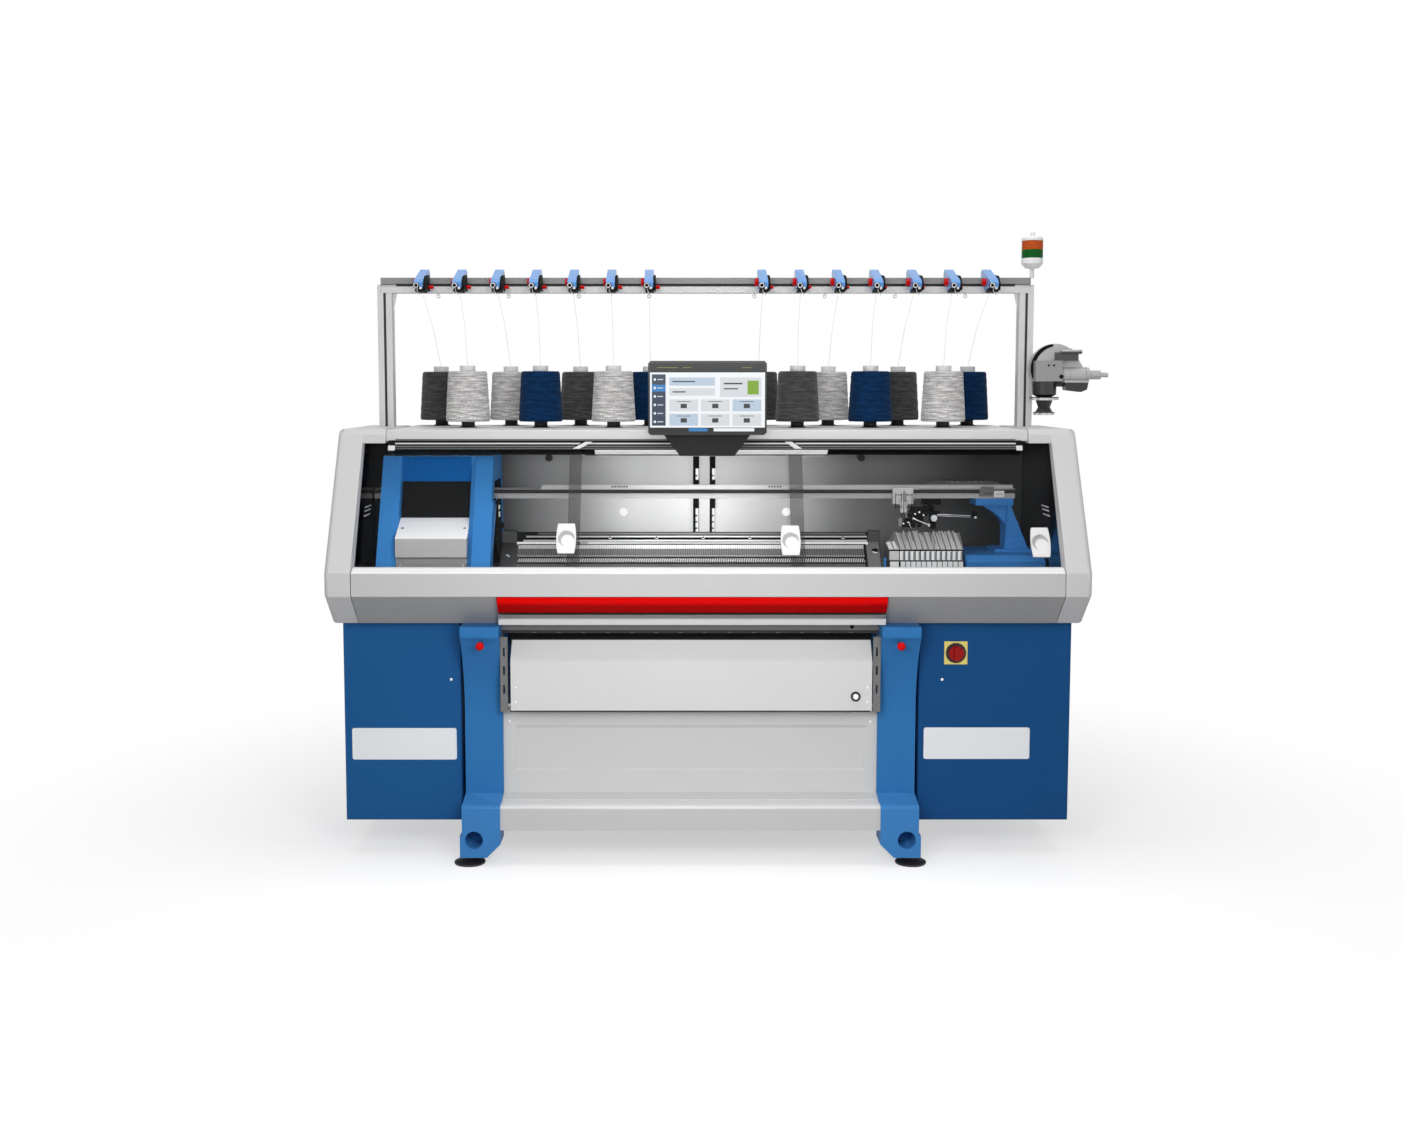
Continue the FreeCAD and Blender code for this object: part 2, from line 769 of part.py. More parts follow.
def door_rails():
    """Top and bottom rail with three grooves each; the top one hangs from the table."""
    deep = track_w(2) + door_sheet + rail_wall
    top = box(-top_rail_half, top_rail_half, -rail_wall, deep, door_top_u - track_depth, door_top_u + 14)
    low = box(-inner_x, inner_x, -rail_wall, deep, door_low_u - 10, door_low_u + track_depth)
    for track in range(3):
        w0 = track_w(track) - track_clear
        w1 = track_w(track) + door_sheet + track_clear
        top = top.cut(box(-inner_x, inner_x, w0, w1, door_top_u - track_depth, door_top_u + 1))
        low = low.cut(box(-inner_x, inner_x, w0, w1, door_low_u - gap, door_low_u + track_depth))
    top, low = leaning(top), leaning(low)
    hanger = box(-top_rail_half, top_rail_half, table_y + 12, table_y + 26,
                 top.BoundBox.ZMax - 16, under_table_z)
    foot = box(-inner_x, inner_x, bed_front_y + 8, bed_front_y + 22, bed_top_z, low.BoundBox.ZMin + 8)
    return [top.fuse(hanger).removeSplitter(), low.fuse(foot).removeSplitter()]


def door(track, x0, x1):
    pane = box(x0, x1, track_w(track), track_w(track) + door_sheet, door_low_u, door_top_u)
    return leaning(pane)


def handle(track, right_edge):
    """White grip plate with a round finger cup, on the front of a door's right end."""
    x1 = right_edge - handle_edge
    x0 = x1 - handle_width
    w1 = track_w(track)
    w0 = w1 - handle_depth
    u0, u1 = handle_u - handle_height / 2, handle_u + handle_height / 2
    waist = 5.0
    middle = (x0 + x1) / 2
    edges = [
        Part.Arc(V(x0 + waist, w0, u0), V(x0, w0, handle_u), V(x0 + waist, w0, u1)),
        Part.LineSegment(V(x0 + waist, w0, u1), V(x1 - waist, w0, u1)),
        Part.Arc(V(x1 - waist, w0, u1), V(x1, w0, handle_u), V(x1 - waist, w0, u0)),
        Part.LineSegment(V(x1 - waist, w0, u0), V(x0 + waist, w0, u0)),
    ]
    plate = Part.Face(Part.Wire([e.toShape() for e in edges])).extrude(V(0, handle_depth, 0))
    cup = bar_y(middle, w0, w0 + handle_cup, handle_u, handle_cup_r, round_sides)
    return leaning(plate.cut(cup))


# ---------------------------------------------------------------- back wall
def back_wall():
    wall = box(-inner_x, inner_x, wall_y, wall_y + wall_plate, bed_top_z, under_table_z)
    for x in (-wall_hole_x, wall_hole_x):
        wall = wall.cut(bar_y(x, wall_y, wall_y + wall_plate, wall_hole_z, wall_hole_r, round_sides))
    for z0, z1 in slot_rows:
        for x0 in (-pillar_half - wall_slot, pillar_half):
            wall = wall.cut(box(x0, x0 + wall_slot, wall_y, wall_y + wall_plate, z0, z1))
    return wall


def wall_fittings():
    """Centre pillar, two pegs on the wall's front and two gussets under the table behind it."""
    pillar = box(-pillar_half, pillar_half, wall_y - pillar_depth, wall_y, bed_top_z, under_table_z)
    parts = [pillar]
    for x in (-peg_x, peg_x):
        parts.append(bar_y(x, wall_y - peg_reach, wall_y, peg_z, peg_r, small_sides))
    back = wall_y + wall_plate
    rim = [(back, under_table_z), (table_back_y - 20, under_table_z), (back, under_table_z - 180)]
    for x in (-gusset_x, gusset_x):
        parts.append(prism_x(rim, x - gusset_plate / 2, x + gusset_plate / 2))
    return parts


# ---------------------------------------------------------------- needle beds
def bed_z(y):
    """Height of the front needle bed's top face at depth y."""
    return needle_foot_z + (y - needle_foot_y) * needle_slope


def flipped(solid):
    """The same piece on the other side of the throat."""
    return solid.mirror(V(0, throat_y, 0), V(0, 1, 0))


def needle_bed_front():
    """Inclined plate with one cut for each shown needle track."""
    drop = needle_plate * math.sqrt(1 + needle_slope ** 2)
    rim = [(needle_foot_y, needle_foot_z), (needle_tip_y, needle_tip_z),
           (needle_tip_y, needle_tip_z - drop), (needle_foot_y, needle_foot_z - drop)]
    bed = prism_x(rim, needle_x0, needle_x1)
    deep = needle_slot_depth * math.sqrt(1 + needle_slope ** 2)
    cut = [(needle_foot_y - 1, bed_z(needle_foot_y - 1) + 1), (needle_tip_y + 1, bed_z(needle_tip_y + 1) + 1),
           (needle_tip_y + 1, bed_z(needle_tip_y + 1) - deep),
           (needle_foot_y - 1, bed_z(needle_foot_y - 1) - deep)]
    count = int((needle_x1 - needle_x0 - needle_slot) / needle_pitch)
    first = (needle_x0 + needle_x1 - (count - 1) * needle_pitch) / 2
    slots = [prism_x(cut, first + i * needle_pitch - needle_slot / 2,
                     first + i * needle_pitch + needle_slot / 2) for i in range(count)]
    return bed.cut(slots)


def bed_girder():
    """Casting below both needle beds, open in the middle for the fabric."""
    drop = needle_plate * math.sqrt(1 + needle_slope ** 2)
    rim = [(needle_foot_y, bed_top_z), (needle_foot_y, needle_foot_z - drop),
           (needle_tip_y, needle_tip_z - drop), (needle_tip_y, bed_top_z)]
    return prism_x(rim, needle_x0, needle_x1)


def comb_rails():
    """Comb strips at both bed edges and the bright rods over the throat."""
    strip = box(needle_x0, needle_x1, needle_tip_y, needle_tip_y + comb_plate, bed_top_z + 60, comb_top_z)
    parts = [strip, flipped(strip)]
    for y, z in rod_rows:
        parts.append(bar_x(needle_x0, needle_x1, y, z, rod_r, small_sides))
    return parts


def bed_end(x0, x1):
    half = bed_hump_half
    rim = [(needle_foot_y, bed_top_z), (needle_foot_y, needle_foot_z), (needle_tip_y, needle_tip_z),
           (throat_y - half, needle_tip_z + 6), (throat_y - half + 4, bed_hump_z),
           (throat_y + half - 4, bed_hump_z), (throat_y + half, needle_tip_z + 6),
           (2 * throat_y - needle_tip_y, needle_tip_z), (2 * throat_y - needle_foot_y, needle_foot_z),
           (2 * throat_y - needle_foot_y, bed_top_z)]
    return prism_x(rim, x0, x1)


# ---------------------------------------------------------------- carriage
def guide_rails():
    rails = []
    for y in (guide_y, guide_back_y):
        rails.append(box(-inner_x, inner_x, y, y + guide_width, bed_top_z, guide_top_z))
    return rails


def rear_inner_y(z):
    """Depth of the rear legs' inner face at height z."""
    low = guide_top_z + gap - 1
    return bow_rear_foot_y + (bow_rear_inner_y - bow_rear_foot_y) * (z - low) / (bow_under_z - low)


def side_frame(x0, x1, inner_face):
    """One leaning side frame of the bow, its inner front edge bevelled."""
    low = guide_top_z + gap
    outer = [(bow_foot_y, low), (bow_top_y, bow_top_z), (bow_rear_top_y, bow_top_z), (bow_rear_y, low)]
    inner = [(bow_foot_inner_y, low - 1), (bow_top_inner_y, bow_under_z),
             (bow_rear_inner_y, bow_under_z), (bow_rear_foot_y, low - 1)]
    arch = prism_x(outer, x0, x1).cut(prism_x(inner, x0 - 1, x1 + 1))
    lean = (bow_top_y - bow_foot_y) / (bow_top_z - low)
    chosen = []
    for e in arch.Edges:
        if all(abs(v.Point.x - inner_face) < 0.1 and
               abs(v.Point.y - bow_foot_y - (v.Point.z - low) * lean) < 1.0 for v in e.Vertexes):
            chosen.append(e)
    return arch.makeChamfer(bow_bevel, chosen)


def carriage_bow():
    """Two leaning side frames joined by the bridge over the carrier rails."""
    left = side_frame(bow_x0, bow_inner_left, bow_inner_left)
    right = side_frame(bow_inner_right, bow_x1, bow_inner_right)
    over = bow_bevel + 4
    bridge = prism_x([(bow_top_y, bow_top_z), (bow_top_inner_y - 14, bow_under_z),
                      (bow_rear_inner_y, bow_under_z), (bow_rear_top_y, bow_top_z)],
                     bow_inner_left - over, bow_inner_right + over)
    low = guide_top_z + gap
    lean = (bow_top_y - bow_foot_y) / (bow_top_z - low)
    back_lean = (bow_top_inner_y - bow_foot_inner_y) / (bow_under_z - low)
    rise = flank_top_z - low
    flank = prism_x([(bow_foot_y, low), (bow_foot_y + rise * lean, flank_top_z),
                     (bow_foot_inner_y + rise * back_lean, flank_top_z), (bow_foot_inner_y, low)],
                    bow_x1 - 1, bow_x1 + flank_plate)
    return left.fuse([right, bridge, flank]).removeSplitter()


def carriage_hood():
    """Folded silver hood over the front cam system, between the bow's sides."""
    rim = [(hood_y, hood_front_z), (hood_top_y, hood_top_z), (hood_back_y, hood_top_z),
           (hood_back_y, bed_z(hood_back_y) + cam_clear + cam_plate * 1.4),
           (needle_foot_y + 8, bed_z(needle_foot_y + 8) + cam_clear + cam_plate * 1.4),
           (hood_y + hood_step + 20, hood_low_z), (hood_y + hood_step, hood_low_z),
           (hood_y + hood_step, hood_step_z), (hood_y, hood_step_z)]
    return prism_x(rim, bow_inner_left + gap, bow_inner_right - gap)


def cam_boxes():
    """Front cam plate close over the needle bed, rear cam box behind the throat, and visor."""
    y0, y1 = needle_foot_y + 8, hood_back_y - 2
    low, high = cam_clear, cam_clear + cam_plate * 1.4
    front = [(y0, bed_z(y0) + low), (y1, bed_z(y1) + low), (y1, bed_z(y1) + high), (y0, bed_z(y0) + high)]
    behind = 2 * throat_y
    rear_low = bed_z(y0) + low
    rear_top = bed_z(y1) + low + rear_cam_height
    shoulder = rear_top - rear_cam_bevel
    rear = [(behind - y1, bed_z(y1) + low), (behind - y1, shoulder),
            (behind - y1 + rear_cam_bevel, rear_top), (bow_rear_inner_y, rear_top),
            (rear_inner_y(shoulder), shoulder), (rear_inner_y(rear_low), rear_low), (behind - y0, rear_low)]
    visor_back_y = bow_top_inner_y - visor
    pane = [(visor_y, hood_top_z), (visor_back_y - visor, bow_under_z), (visor_back_y, bow_under_z),
            (visor_y + visor, hood_top_z)]
    return [prism_x(front, bow_inner_left, bow_inner_right), prism_x(rear, bow_x0, bow_x1),
            prism_x(pane, bow_inner_left, bow_inner_right)]


# ---------------------------------------------------------------- carrier rails
def carrier_rails():
    """Grooved rails above the throat, with perforated plates over their right ends."""
    rails = []
    for i in range(rail_count):
        y = rail_y + i * rail_pitch
        z = rail_low_z + min(i, rail_count - 1 - i) * 3.0
        rail = box(rail_left_x, rail_right_x, y, y + rail_thick, z, z + rail_height)
        groove_z = z + rail_height - 2 * rail_groove
        rail = rail.cut(box(rail_left_x, rail_right_x, y, y + rail_groove_depth,
                            groove_z, groove_z + rail_groove))
        rails.append(rail)
    return rails


def rail_end_plate():
    """Perforated sheet over the rails' right ends: it lies on the front rail and rises to the back."""
    y0 = rail_y
    y1 = rail_y + rail_thick - 4
    y2 = rail_y + rail_pitch * 2 + rail_thick
    y3 = rail_back_y
    z0 = rail_top_z
    z1 = rail_top_z + end_plate_rise
    t = end_plate
    rim = [(y0, z0), (y1, z0), (y2, z1), (y3 - t, z1), (y3 - t, z0), (y3, z0), (y3, z1 + t), (y2, z1 + t),
           (y1, z0 + t), (y0, z0 + t)]
    plate = prism_x(rim, end_plate_x, rail_right_x)
    ends = [(end_plate_x, 1), (rail_right_x, -1)]
    for x, way in ends:
        corners = [V(x - way, y1, z0 - 1), V(x - way, y3 + 1, z0 - 1),
                   V(x + way * end_plate_taper, y3 + 1, z0 - 1)]
        wedge = Part.Face(Part.makePolygon(corners + corners[:1])).extrude(V(0, 0, end_plate_rise + t + 2))
        plate = plate.cut(wedge)
    first = end_plate_x + end_plate_taper
    pitch = (rail_right_x - end_plate_taper - first) / (end_plate_slots + 1)
    slots = []
    for i in range(end_plate_slots):
        x = first + (i + 1) * pitch
        for y in (y1 + 12, y2 - 16):
            slots.append(box(x - 6, x + 6, y, y + 8, z0 - 1, z1 + t + 1))
    return plate.cut(slots)


def right_stand():
    """Blue deck beside the needle bed with the stepped column that carries the rails."""
    top = rail_low_z
    head = box(stand_x0, stand_x1, rail_y, rail_back_y, top - stand_head, top)
    low = deck_z - 1
    neck = prism_y([(stand_x0 + 24, top - stand_head + 1), (stand_x1 - 6, top - stand_head + 1),
                    (stand_foot_x1 - 12, low), (stand_foot_x0 + 42, low), (stand_foot_x0 + 42, top - 92),
                    (stand_foot_x0 + 18, top - 60)], stand_neck_y, rail_back_y)
    tall = (top - stand_head - deck_z) / stand_steps
    spread = (stand_foot_x1 - 12 - stand_x1 + 6) / stand_steps
    tiers = []
    for i in range(stand_steps):
        z = deck_z + i * tall
        right = stand_foot_x1 - 12 - i * spread
        rim = [(stand_foot_x0 + 34 + i * 4, z - 1), (right, z - 1), (right - spread, z + tall + 1),
               (stand_foot_x0 + 38 + i * 4, z + tall + 1)]
        tiers.append(prism_y(rim, rail_y + i * stand_step, stand_neck_y + 1))
    foot = box(stand_foot_x0, stand_foot_x1, rail_y - 12, rail_back_y + 12, low, deck_z + stand_foot_height)
    deck = prism_x([(deck_y, bed_top_z), (deck_y, deck_z - 18), (deck_y + 26, deck_z), (deck_back_y, deck_z),
                    (deck_back_y, bed_top_z)], deck_x0, deck_x1)
    return deck.fuse([head, neck, foot] + tiers).removeSplitter()


def left_stand_plate():
    return box(rail_left_x, rail_left_x + left_stand, rail_y, rail_back_y, bed_top_z, rail_low_z)


def stand_saddles():
    """Bars that lift the two middle rails, which lie higher, off the stands."""
    y0 = rail_y + rail_pitch
    y1 = rail_y + 2 * rail_pitch + rail_thick
    left = box(rail_left_x, rail_left_x + left_stand, y0, y1, rail_low_z, rail_low_z + 3)
    right = box(stand_x0, stand_x1, y0, y1, rail_low_z, rail_low_z + 3)
    return left, right


def first_carrier():
    """Yarn carrier on the front rail: box with a four-field face, slider and feeder foot."""
    x0, x1 = carrier_x - carrier_half, carrier_x + carrier_half
    y1 = rail_y - gap
    y0 = y1 - carrier_plate
    z0, z1 = rail_low_z - 18, rail_top_z + 8
    case = box(x0, x1, y0, y1, z0, z1)
    field = (x1 - x0 - 18) / 2
    tall = (z1 - z0 - 18) / 2
    for i in (0, 1):
        for k in (0, 1):
            fx = x0 + 6 + i * (field + 6)
            fz = z0 + 6 + k * (tall + 6)
            case = case.cut(box(fx, fx + field, y0, y0 + 3, fz, fz + tall))
    tongue_z = rail_top_z - 2 * rail_groove
    tongue = box(x0, x1, y1 - 1, rail_y + rail_groove_depth - 1, tongue_z + 1, tongue_z + rail_groove - 1)
    arm = prism_y([(carrier_x - 12, z0 + 1), (carrier_x + 12, z0 + 1), (carrier_x + 7, foot_z + 20),
                   (carrier_x + 2, foot_z), (carrier_x - 2, foot_z), (carrier_x - 7, foot_z + 20)],
                  throat_y - 10, throat_y)
    link = box(carrier_x - 12, carrier_x + 12, throat_y - 10, y1, z0, z0 + 12)
    return case.fuse([tongue, arm, link]).removeSplitter()


def second_carrier():
    """Yarn carrier under the second rail, whose arm bends forward to the throat."""
    y0 = rail_y + rail_pitch
    z1 = rail_low_z + 3.0 - gap
    rim = [(y0, z1), (y0 + 18, z1), (y0 + 18, z1 - 32), (throat_y + 20, foot_z + 10), (throat_y + 20, foot_z),
           (throat_y + 8, foot_z), (throat_y + 8, foot_z + 16), (y0, z1 - 36)]
    arm = prism_x(rim, second_carrier_x - 9, second_carrier_x + 9)
    shoe = box(second_carrier_x - 32, second_carrier_x + 32, y0, y0 + 18, z1 - 26, z1)
    return arm.fuse(shoe).removeSplitter()


def clamp_unit():
    """Lamella block beside the needle bed: a stepped front with one slot for each clamp."""
    rim = [(clamp_y, bed_top_z), (clamp_y, clamp_face_z), (clamp_top_y, clamp_top_z),
           (clamp_back_y, clamp_top_z), (clamp_back_y, bed_top_z)]
    block = prism_x(rim, clamp_x0, clamp_x1)
    step = prism_x([(clamp_y - 1, clamp_face_z - 32), (clamp_y - 1, clamp_face_z - 28),
                    (clamp_y + 4, clamp_face_z - 28), (clamp_y + 4, clamp_face_z - 32)], clamp_x0, clamp_x1)
    pitch = (clamp_x1 - clamp_x0) / (clamp_slots + 1)
    d = clamp_slot_depth
    cut = [(clamp_y - 1, bed_top_z + 40), (clamp_y - 1, clamp_face_z + 2), (clamp_top_y, clamp_top_z + 4),
           (clamp_back_y + 1, clamp_top_z + 4), (clamp_back_y + 1, clamp_top_z - d),
           (clamp_top_y + d * 0.3, clamp_top_z - d), (clamp_y + d, clamp_face_z - d * 0.4),
           (clamp_y + d, bed_top_z + 40)]
    slots = []
    for i in range(clamp_slots):
        x = clamp_x0 + (i + 1) * pitch
        slots.append(prism_x(cut, x - clamp_slot / 2, x + clamp_slot / 2))
    corner = prism_y([(clamp_x0, clamp_top_z - clamp_bevel * 1.5), (clamp_x0 + clamp_bevel, clamp_top_z + 1),
                      (clamp_x0 - 1, clamp_top_z + 1), (clamp_x0 - 1, clamp_top_z - clamp_bevel * 1.5)],
                     clamp_y - 1, clamp_back_y + 1)
    return block.cut([step, corner] + slots)


# ---------------------------------------------------------------- yarn frame
def frame_post(side):
    x0 = post_outer_x - post_width
    post = box(x0, post_outer_x, post_y, post_y + post_depth, shell_top_z, beam_low_z)
    g = profile_groove
    middle = (x0 + post_outer_x) / 2
    post = post.cut(box(middle - g / 2, middle + g / 2, post_y, post_y + g, shell_top_z, beam_low_z))
    cheek = box(beam_half + gap, post_outer_x, post_y, post_y + post_depth,
                beam_low_z - 1, beam_low_z + post_cheek)
    post = post.fuse(cheek).removeSplitter()
    return post if side > 0 else mirrored(post, 0)


def frame_beam():
    beam = box(-beam_half, beam_half, post_y, post_y + post_depth, beam_low_z, beam_top_z)
    g = profile_groove
    z = beam_low_z + beam_height / 2 - g / 2
    return beam.cut(box(-beam_half, beam_half, post_y, post_y + g, z, z + g))


def frame_gusset(side):
    x = post_outer_x - post_width
    rim = [(x, beam_low_z), (x - gusset_reach, beam_low_z), (x, beam_low_z - gusset_size)]
    plate = prism_y(rim, post_y + 10, post_y + 14)
    return plate if side > 0 else mirrored(plate, 0)


def hook(x):
    """Open yarn ring on a short shank below the beam."""
    w = hook_wire_r
    y = post_y + post_depth / 2
    z = beam_low_z - hook_r - 4
    ring = flat_ring(x, y - w, z, hook_r + w, hook_r - w, 2 * w, 6)
    shank = box(x - w, x + w, y - w, y + w, z + hook_r - w / 2, beam_low_z)
    return ring.fuse(shank).removeSplitter()


def unit_places():
    places = [unit_x + i * unit_pitch for i in range(unit_count)]
    return [-x for x in reversed(places)] + places


def yarn_unit(x):
    """Yarn control unit on the beam: sloping housing, nose eye and tension block."""
    back = post_y + post_depth
    rim = [(unit_nose_y, unit_nose_z - 10), (unit_nose_y - 6, unit_nose_z + 6),
           (unit_nose_y + 8, unit_nose_z + 18), (back - 20, beam_top_z + unit_rise * 0.7),
           (back, beam_top_z + unit_rise * 0.5), (back, beam_top_z), (post_y, beam_top_z),
           (post_y, beam_top_z - unit_overhang), (post_y - 30, unit_nose_z - 12)]
    half = unit_width / 2
    body = prism_x(rim, x - half, x + half)
    ring = flat_ring(x, unit_nose_y + 4, unit_nose_z - 15, 8, 4, 4, 4)
    block = box(x - half + 4, x + half - 4, post_y - 44, post_y, beam_low_z + 6, beam_low_z + 26)
    return body.fuse([ring, block]).removeSplitter()


def unit_knobs(x):
    """Red tension knobs: a wide disc on the left flank, a slim pin on the right."""
    half = unit_width / 2
    y, z = post_y - 40, unit_nose_z + 12
    sizes = [(x - half - unit_knob_long, unit_knob_long, y, z, unit_knob_r),
             (x + half, unit_pin_long, y + 10, z - 16, unit_pin_r)]
    knobs = []
    for x0, long, ky, kz, r in sizes:
        turns = [2 * math.pi * i / unit_knob_sides for i in range(unit_knob_sides)]
        rim = [(ky + r * math.cos(t), kz + r * math.sin(t)) for t in turns]
        knobs.append(prism_x(rim, x0, x0 + long))
    return knobs


# ---------------------------------------------------------------- cones
def row_places(first, count):
    places = [first + i * cone_pitch for i in range(count)]
    return [-x for x in reversed(places)] + places


def cone(x, y):
    """Wound yarn package with a hollow core, in flat steps around."""
    z0 = table_z + cone_foot
    z1 = z0 + cone_height
    package = faceted_z(x, y, [(cone_base_r, z0), (cone_tip_r, z1)], round_sides)
    return package.cut(faceted_z(x, y, [(cone_tube_r + gap, z0), (cone_tube_r + gap, z1)], small_sides))


def cone_stand(x, y):
    """Foot on the table and the tube that the package is wound on."""
    z = table_z + cone_foot
    top = z + cone_height + cone_tube_rise
    foot = faceted_z(x, y, [(cone_foot_r, table_z), (cone_foot_r, table_z + 3), (cone_stub_r, table_z + 4),
                            (cone_stub_r, z - 1)], small_sides)
    tube = faceted_z(x, y, [(cone_tube_r, z - 2), (cone_tube_r, top)], small_sides)
    return foot.fuse(tube).removeSplitter()


# ---------------------------------------------------------------- display and light
def display_bracket():
    """Trapezoid plate before the top rail, held off the table's lip, with two pin arms."""
    y0 = bracket_plate_y
    y1 = y0 + bracket_plate
    top = table_z - 6
    plate = prism_y([(-bracket_top_half, top), (bracket_top_half, top), (bracket_low_half, bracket_foot_z),
                     (-bracket_low_half, bracket_foot_z)], y0, y1)
    spacer = box(-bracket_low_half, bracket_low_half, y1 - 1, table_y, table_z - table_lip + 2, top)
    arms = []
    for x in (-neck_half, neck_half - 8):
        rim = [(y0, top - 10), (y0, hinge_z + 10), (hinge_y + 10, hinge_z + 10), (hinge_y + 10, top - 10)]
        arm = prism_x(rim, x, x + 8)
        arms.append(arm.cut(rod_x(x, x + 8, hinge_y, hinge_z, hinge_pin_r + fit)))
    return plate.fuse([spacer] + arms).removeSplitter()


def display():
    """Flat display with rounded corners, rear bulge and hinge lug with its pin."""
    half = display_width / 2
    z0, z1 = display_low_z, display_low_z + display_height
    y1 = display_y + display_depth
    panel = box(-half, half, display_y, y1 - 8, z0, z1)
    corners = [e for e in panel.Edges if abs(e.Vertexes[0].Point.y - e.Vertexes[1].Point.y) > 1]
    panel = panel.makeChamfer(display_round, corners)
    bulge = box(-half * 0.6, half * 0.6, y1 - 9, y1, z0 + 20, z1 - 40)
    lug = box(-hinge_half, hinge_half, y1 - 1, hinge_y + 9, hinge_z - 9, hinge_z + 9)
    pin = rod_x(-neck_half, neck_half, hinge_y, hinge_z, hinge_pin_r)
    return panel.fuse([bulge, lug, pin]).removeSplitter()


def work_light():
    y0, y1 = light_y, light_y + light_width
    z0, z1 = light_low_z, light_low_z + light_height
    lamp = prism_x([(y0 + 4, z0), (y1 - 4, z0), (y1, z0 + 5), (y1, z1), (y0, z1), (y0, z0 + 5)],
                   -light_half, light_half)
    arms = []
    for x in (-light_arm_x, light_arm_x):
        arms.append(box(x - light_arm / 2, x + light_arm / 2, y0 + 5, y1 - 5, z1 - 1, under_table_z))
    return lamp.fuse(arms).removeSplitter()


# ---------------------------------------------------------------- beacon
def beacon():
    """White body, green and amber lens rings, from the bottom up."""
    y = post_y + post_depth / 2
    r = beacon_r
    base, green, amber, cap = beacon_rings
    z0 = beacon_low_z
    z1, z2 = z0 + base, z0 + base + green
    z3, z4 = z2 + amber, z2 + amber + cap
    stem = faceted_z(beacon_x, y, [(beacon_stem_r, beam_top_z), (beacon_stem_r, z0 + 1)], small_sides)
    foot = faceted_z(beacon_x, y, [(r - 14, z0), (r, z0 + 16), (r, z1)], round_sides).fuse(stem)
    tip = faceted_z(beacon_x, y, [(beacon_tip_r, z4 - 1), (beacon_tip_r, z4 + beacon_tip)], small_sides)
    head = faceted_z(beacon_x, y, [(r, z3), (r, z4 - 6), (r - 6, z4)], round_sides).fuse(tip)
    lenses = [faceted_z(beacon_x, y, [(r - 1, low), (r - 1, high)], round_sides)
              for low, high in ((z1, z2), (z2, z3))]
    return [foot, head], lenses


# ---------------------------------------------------------------- side feeder
def side_feeder():
    """Round feeder housing with gear block and motor, on a bracket at the right post."""
    y0, y1 = feeder_y, feeder_y + feeder_depth
    middle = (y0 + y1) / 2
    cx, cz, r = feeder_disc_x, feeder_disc_z, feeder_disc_r
    disc = bar_y(cx, middle, y1, cz, r, round_sides * 2)
    wing = prism_y([(cx, cz + r * 0.8), (cx + r * 0.68, cz + r * 0.8), (cx + r * 1.22, cz - 6),
                    (cx + r * 1.22, cz - feeder_disc_low), (cx, cz - feeder_disc_low)], middle, y1)
    below = box(cx - 2 * r, cx + 2 * r, y0, y1, cz - 2 * r, cz - feeder_disc_low)
    plate = disc.fuse(wing).cut(below)
    gear = box(cx - feeder_box, cx + 16, y0 - 8, middle + 1, cz - 44, cz + 26)
    top_box = box(cx - 2, cx + feeder_box, middle - 22, middle + 1, cz + 24, cz + 54)
    lever = bar_x(cx + 16, cx + feeder_box + 10, middle - 22, cz + 56, 8, small_sides)
    motor = bar_x(cx, cx + 112, middle - 4, motor_low_z, motor_r, round_sides)
    cap = bar_x(cx + 111, feeder_reach_x - 26, middle - 4, motor_low_z, motor_r * 0.6, round_sides)
    tip = bar_x(feeder_reach_x - 27, feeder_reach_x, middle - 4, motor_low_z, motor_r * 0.34, small_sides)
    sump = prism_y([(cx + 26, cz - 40), (cx + 110, cz - 40), (cx + 104, cz - 72), (cx + 84, cz - 80),
                    (cx + 34, cz - 74)], y0 + 4, y1 - 6)
    low_z = wheel_high_z + wheel_plate + gap
    neck = faceted_z(wheel_x, middle, [(wheel_high_r * 0.5, low_z), (wheel_high_r * 0.8, low_z + 8),
                                       (wheel_high_r * 0.8, cz - 43)], round_sides)
    arm = box(post_outer_x, cx - 40, y1 - 1, post_y + 20, cz - 58, cz + 30)
    body = plate.fuse([gear, top_box, lever, motor, cap, tip, sump, neck, arm]).removeSplitter()
    return body.cut(rod_z(wheel_x, middle, wheel_high_z, low_z + 24, wheel_shaft_r + fit))


def feeder_wheels():
    """Two toothed wheels on one upright shaft that turns in the feeder's neck."""
    y = feeder_y + feeder_depth / 2
    parts = []
    for z, rim_r in ((wheel_low_z, wheel_low_r), (wheel_high_z, wheel_high_r)):
        corners = []
        for i in range(wheel_teeth * 2):
            r = rim_r if i % 2 == 0 else rim_r - wheel_tooth
            turn = math.pi * i / wheel_teeth
            corners.append(V(wheel_x + r * math.cos(turn), y + r * math.sin(turn), z))
        face = Part.Face(Part.makePolygon(corners + corners[:1]))
        parts.append(face.extrude(V(0, 0, wheel_plate)))
    shaft = rod_z(wheel_x, y, wheel_low_z, wheel_high_z + wheel_plate + gap + 20, wheel_shaft_r)
    waist_r = wheel_low_r * 0.8
    waist = faceted_z(wheel_x, y, [(waist_r, wheel_low_z + wheel_plate), (waist_r * 0.7, wheel_low_z + 26),
                                   (waist_r, wheel_high_z)], round_sides)
    return shaft.fuse(parts + [waist]).removeSplitter()


